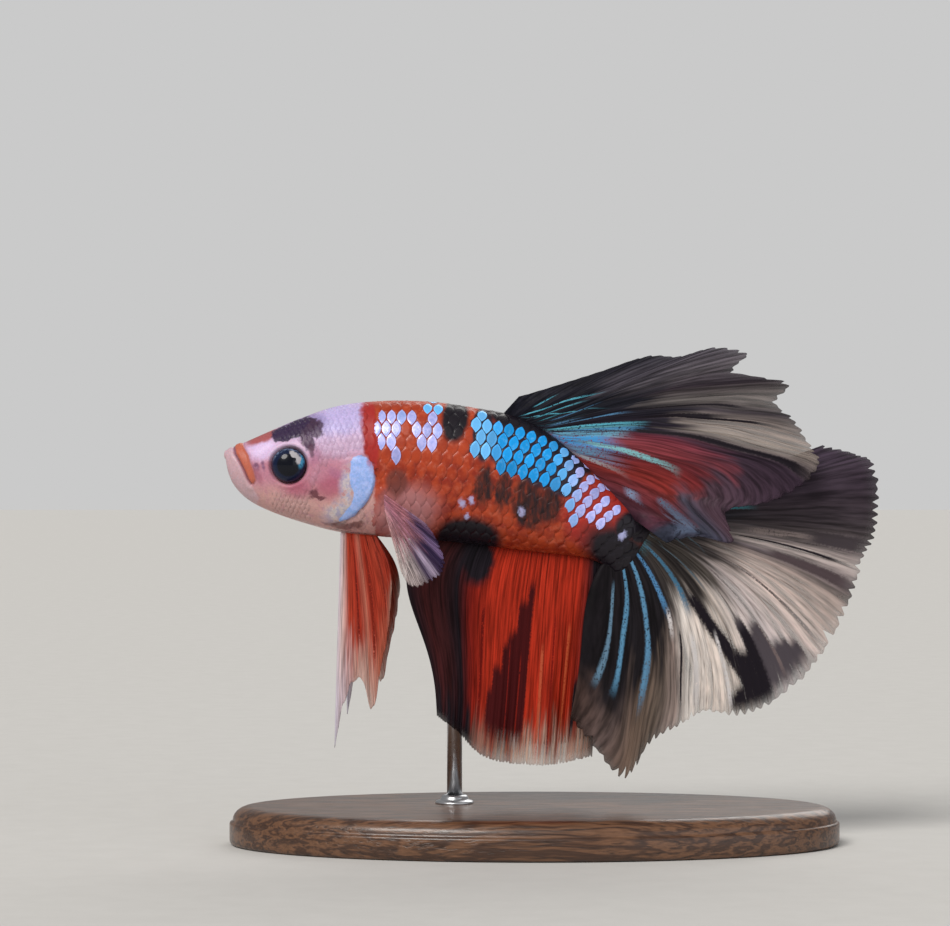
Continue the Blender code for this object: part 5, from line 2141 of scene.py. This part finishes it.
@dataclass(frozen=True)
class Stand:
    """An oval walnut base, a brushed steel rod up to the belly and a collar round the rod's foot."""

    length: float = 64.0
    depth: float = 34.0
    height: float = 4.0
    centre_x: float = -2.0
    rod_x: float = -10.4
    rod_y: float = 2.45
    rod_radius: float = 0.8
    rod_foot: float = 1.85
    sides: int = 160
    # Inset and height of the base's edge, from its underside to its top.
    profile: Line = (
        (0.55, 0.0), (0.2, 0.1), (0.04, 0.32), (0.0, 0.6), (0.0, 2.2), (0.05, 2.34), (0.18, 2.42), (0.3, 2.5),
        (0.34, 2.66), (0.38, 2.9), (0.52, 3.2), (0.78, 3.5), (1.12, 3.74), (1.52, 3.9), (1.95, 3.98),
        (2.4, 4.0), (5.0, 4.0), (9.0, 4.0), (13.0, 4.0))
    # Radius and height of the collar, from the rod outwards and down.
    collar: Line = ((0.8, 4.9), (1.15, 4.9), (1.32, 4.82), (1.42, 4.66), (1.46, 4.45), (1.62, 4.36),
                    (1.9, 4.3), (2.02, 4.18), (2.05, 3.97))

    def build(self, body: Body) -> list[bpy.types.Object]:
        """Build base, rod and collar."""
        return [dress(self.base(), "walnut", "stand_base"), dress(self.rod(body), "rod_steel", "stand_rod"),
                dress(self.collar_ring(), "rod_steel")]

    def base(self) -> bpy.types.Object:
        """The oval base with a moulded edge.

        Returns:
            The base.
        """
        rows = [oval(self.sides, self.centre_x, 0.0, self.length / 2 - inset, self.depth / 2 - inset, height)
                for inset, height in self.profile]
        points = np.vstack(rows + [[(self.centre_x, 0.0, 0.0), (self.centre_x, 0.0, self.height)]])
        return add_mesh("walnut_base", points, capped_tube(len(rows), self.sides), WalnutFinish().make())

    def rod(self, body: Body) -> bpy.types.Object:
        """The rod, whose top follows the belly and ends just inside the skin.

        Args:
            body: The fish's body.

        Returns:
            The rod.
        """
        sides = 48
        x, y, _ = oval(sides, self.rod_x, self.rod_y, self.rod_radius, self.rod_radius).T
        top = self.belly(body, x, y) + 0.25
        rows = [np.stack([x, y, level], axis=-1) for level in (np.full(sides, self.rod_foot), top - 1.0, top)]
        ends = [(self.rod_x, self.rod_y, self.rod_foot), (self.rod_x, self.rod_y, top.mean())]
        return add_mesh("steel_rod", np.vstack(rows + [ends]), capped_tube(len(rows), sides),
                        SteelFinish("rod_brushed").make())

    @staticmethod
    def belly(body: Body, x: np.ndarray, y: np.ndarray) -> np.ndarray:
        """Height of the underside of the body over places in plan.

        Args:
            body: The fish's body.
            x: Places along the body.
            y: Places across it.

        Returns:
            The heights.
        """
        ribs, turns = np.meshgrid(np.linspace(7.0, 10.0, 61), np.linspace(0.52 * np.pi, 1.48 * np.pi, 181))
        cloud = body.point(ribs, turns).reshape(-1, 3)
        nearest = [np.argmin((cloud[:, 0] - a) ** 2 + (cloud[:, 1] - b) ** 2) for a, b in zip(x, y)]
        return cloud[nearest, 2]

    def collar_ring(self) -> bpy.types.Object:
        """The turned collar round the rod's foot.

        Returns:
            The collar.
        """
        sides = 64
        shape = self.collar[::-1] + ((0.7, 4.6), (0.7, 3.97))
        rows = [oval(sides, self.rod_x, self.rod_y, radius, radius, height) for radius, height in shape]
        return add_mesh("rod_collar", np.vstack(rows), tube_grid(len(rows), sides, ring=True),
                        SteelFinish("collar_brushed").make())


class WalnutFinish:
    """Oiled walnut: long grain with darker growth bands, pores and a satin film."""

    def make(self) -> bpy.types.Material:
        """Build the material.

        Returns:
            The material.
        """
        recipe = Recipe("walnut")
        at = recipe.millimetres()
        warp = recipe.ragged(at, 16.0, 1.6)
        _, y, z = recipe.parts(warp)
        growth = recipe.noise(recipe.vector("MULTIPLY", warp, (0.04, 0.55, 0.8)), 1.0, 3.0, 0.55)
        band = abs((growth * 5.0 + y * 0.06 + z * 0.05).turn() * 2.0 - 1.0)
        pores = recipe.noise(at, 0.35, 3.0, 0.65, (11.0, 1.0, 1.0))
        fibre = recipe.noise(at, 0.16, 3.0, 0.6, (26.0, 1.0, 1.0))
        colour = recipe.layers((0.052, 0.021, 0.01), ((0.15, 0.068, 0.032), band.ramp(0.1, 0.9)),
                               ((0.026, 0.011, 0.006), pores.ramp(0.56, 0.68) * 0.8))
        colour = recipe.shade(colour, fibre.ramp(0.25, 0.75, 0.75, 1.25))
        return recipe.finish(Base_Color=colour, Roughness=fibre.ramp(0.3, 0.7, 0.3, 0.44),
                             Normal=recipe.bump(pores.ramp(0.68, 0.5) + fibre * 0.3, 0.05, 0.45),
                             Coat_Weight=0.3, Coat_Roughness=0.16)


@dataclass(frozen=True)
class SteelFinish:
    """Steel brushed round about, with faint wear."""

    name: str

    def make(self) -> bpy.types.Material:
        """Build the material.

        Returns:
            The material.
        """
        recipe = Recipe(self.name)
        at = recipe.millimetres()
        lines = recipe.noise(at, 0.06, 3.0, 0.6, (30.0, 30.0, 1.0))
        smear = recipe.noise(at, 1.6, 2.0)
        colour = recipe.blend((0.46, 0.47, 0.49), (0.66, 0.67, 0.69), lines)
        return recipe.finish(Base_Color=colour, Metallic=1.0, Roughness=smear.ramp(0.3, 0.7, 0.24, 0.38),
                             Normal=recipe.bump(lines, 0.01, 0.35))


@dataclass(frozen=True)
class Studio:
    """Plain pale floor, soft lights and the camera, straight on to the fish's left side."""

    aim: tuple[float, float, float] = (-8.24, 0.0, 39.97)
    distance: float = 350.0
    lens: float = 126.3

    def build(self) -> None:
        """Set floor, world, lights and camera."""
        self.floor()
        self.world()
        self.sun("key", (0.45, 0.8, -0.85), 28.0, 2.3, (1.0, 0.97, 0.93))
        self.sun("fill", (-0.9, 0.75, -0.2), 60.0, 0.55, (0.9, 0.95, 1.0))
        self.sun("back", (-0.3, -0.9, -0.7), 40.0, 0.8, (1.0, 0.98, 0.95))
        self.camera()

    def floor(self) -> None:
        """A wide matt floor."""
        recipe = Recipe("floor")
        grain = recipe.noise(recipe.millimetres(), 4.0, 4.0, 0.6)
        colour = recipe.blend((0.6, 0.59, 0.57), (0.66, 0.65, 0.63), grain)
        finish = recipe.finish(Base_Color=colour, Roughness=0.9, Normal=recipe.bump(grain, 0.05, 0.1),
                               Specular_IOR_Level=0.0)
        reach = 2500.0
        corners = [(reach * x, reach * y, -0.02) for x, y in ((-1, -1), (1, -1), (1, 1), (-1, 1))]
        floor = add_mesh("floor", np.array(corners), [(0, 1, 2, 3)], finish)

    @staticmethod
    def world() -> None:
        """Even pale light from all round."""
        world = bpy.data.worlds.new("studio_world")
        world.use_nodes = True
        tree = world.node_tree
        background = tree.nodes["Background"]
        background.inputs["Color"].default_value = (0.82, 0.82, 0.82, 1.0)
        seen = tree.nodes.new("ShaderNodeMapRange")
        seen.inputs["To Min"].default_value, seen.inputs["To Max"].default_value = 0.34, 0.72
        tree.links.new(tree.nodes.new("ShaderNodeLightPath").outputs["Is Camera Ray"], seen.inputs["Value"])
        tree.links.new(seen.outputs["Result"], background.inputs["Strength"])
        bpy.context.scene.world = world

    @staticmethod
    def sun(name: str, direction: tuple[float, float, float], spread: float, strength: float,
            tint: Colour) -> None:
        """A wide soft light from far away, which lights floor and fish evenly.

        Args:
            name: The light's name.
            direction: Where it shines to.
            spread: Its angle, in degrees.
            strength: Its strength.
            tint: Its colour.
        """
        light = bpy.data.lights.new(name, "SUN")
        light.angle, light.energy, light.color = math.radians(spread), strength, tint
        tilt = math.atan2(math.hypot(direction[0], direction[1]), -direction[2])
        add_object(name, light).rotation_euler = (tilt, 0.0, math.atan2(-direction[0], direction[1]))

    def camera(self) -> None:
        """The camera, level with the fish."""
        camera = bpy.data.cameras.new("camera")
        camera.sensor_fit, camera.sensor_width, camera.lens = "HORIZONTAL", 36.0, self.lens
        camera.clip_start = 0.01
        thing = add_object("camera", camera)
        thing.location = (self.aim[0] * MM, (self.aim[1] - self.distance) * MM, self.aim[2] * MM)
        thing.rotation_euler = (math.radians(90.0), 0.0, 0.0)
        bpy.context.scene.camera = thing


def report(pieces: Sequence[bpy.types.Object]) -> None:
    """Log each piece with its faces."""
    for piece in pieces:
        log.info("%s: %d faces", piece.name, len(piece.data.polygons))


def main() -> None:
    """Build the fish, its stand and the studio."""
    logging.basicConfig(level=logging.INFO, format="%(name)s: %(message)s")
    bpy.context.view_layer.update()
    bpy.context.scene.view_settings.view_transform = "Standard"
    body, eyes = Body(), Eyes()
    report(eyes.build())
    skin = Skin(body, eyes)
    covered = skin.build()
    report([covered])
    coat = ScaleCoat("body_scales", CoatPart.TRUNK, skin, first_column=-19.0, last_column=8.6,
                     lattice=((-19.0, 2.9, 0.51), (-12.0, 2.9, 0.54), (-5.0, 2.8, 0.56), (1.0, 2.72, 0.56),
                              (8.0, 2.35, 0.47)))
    face = ScaleCoat("head_scales", CoatPart.HEAD, skin, first_column=-29.5, last_column=-19.6,
                     lattice=((-30.0, 1.15, 0.22), (-19.0, 1.7, 0.32)), rings=(1.0,), stand=0.008,
                     plate=0.011, sag=0.002, seed=11, slot="head_skin")
    report([coat.build(covered, ScaleFinish().make()), face.build(covered, covered.data.materials[0])])
    FinSet().build()
    report(Stand().build(body))
    Studio().build()


if __name__ == "__main__":
    main()
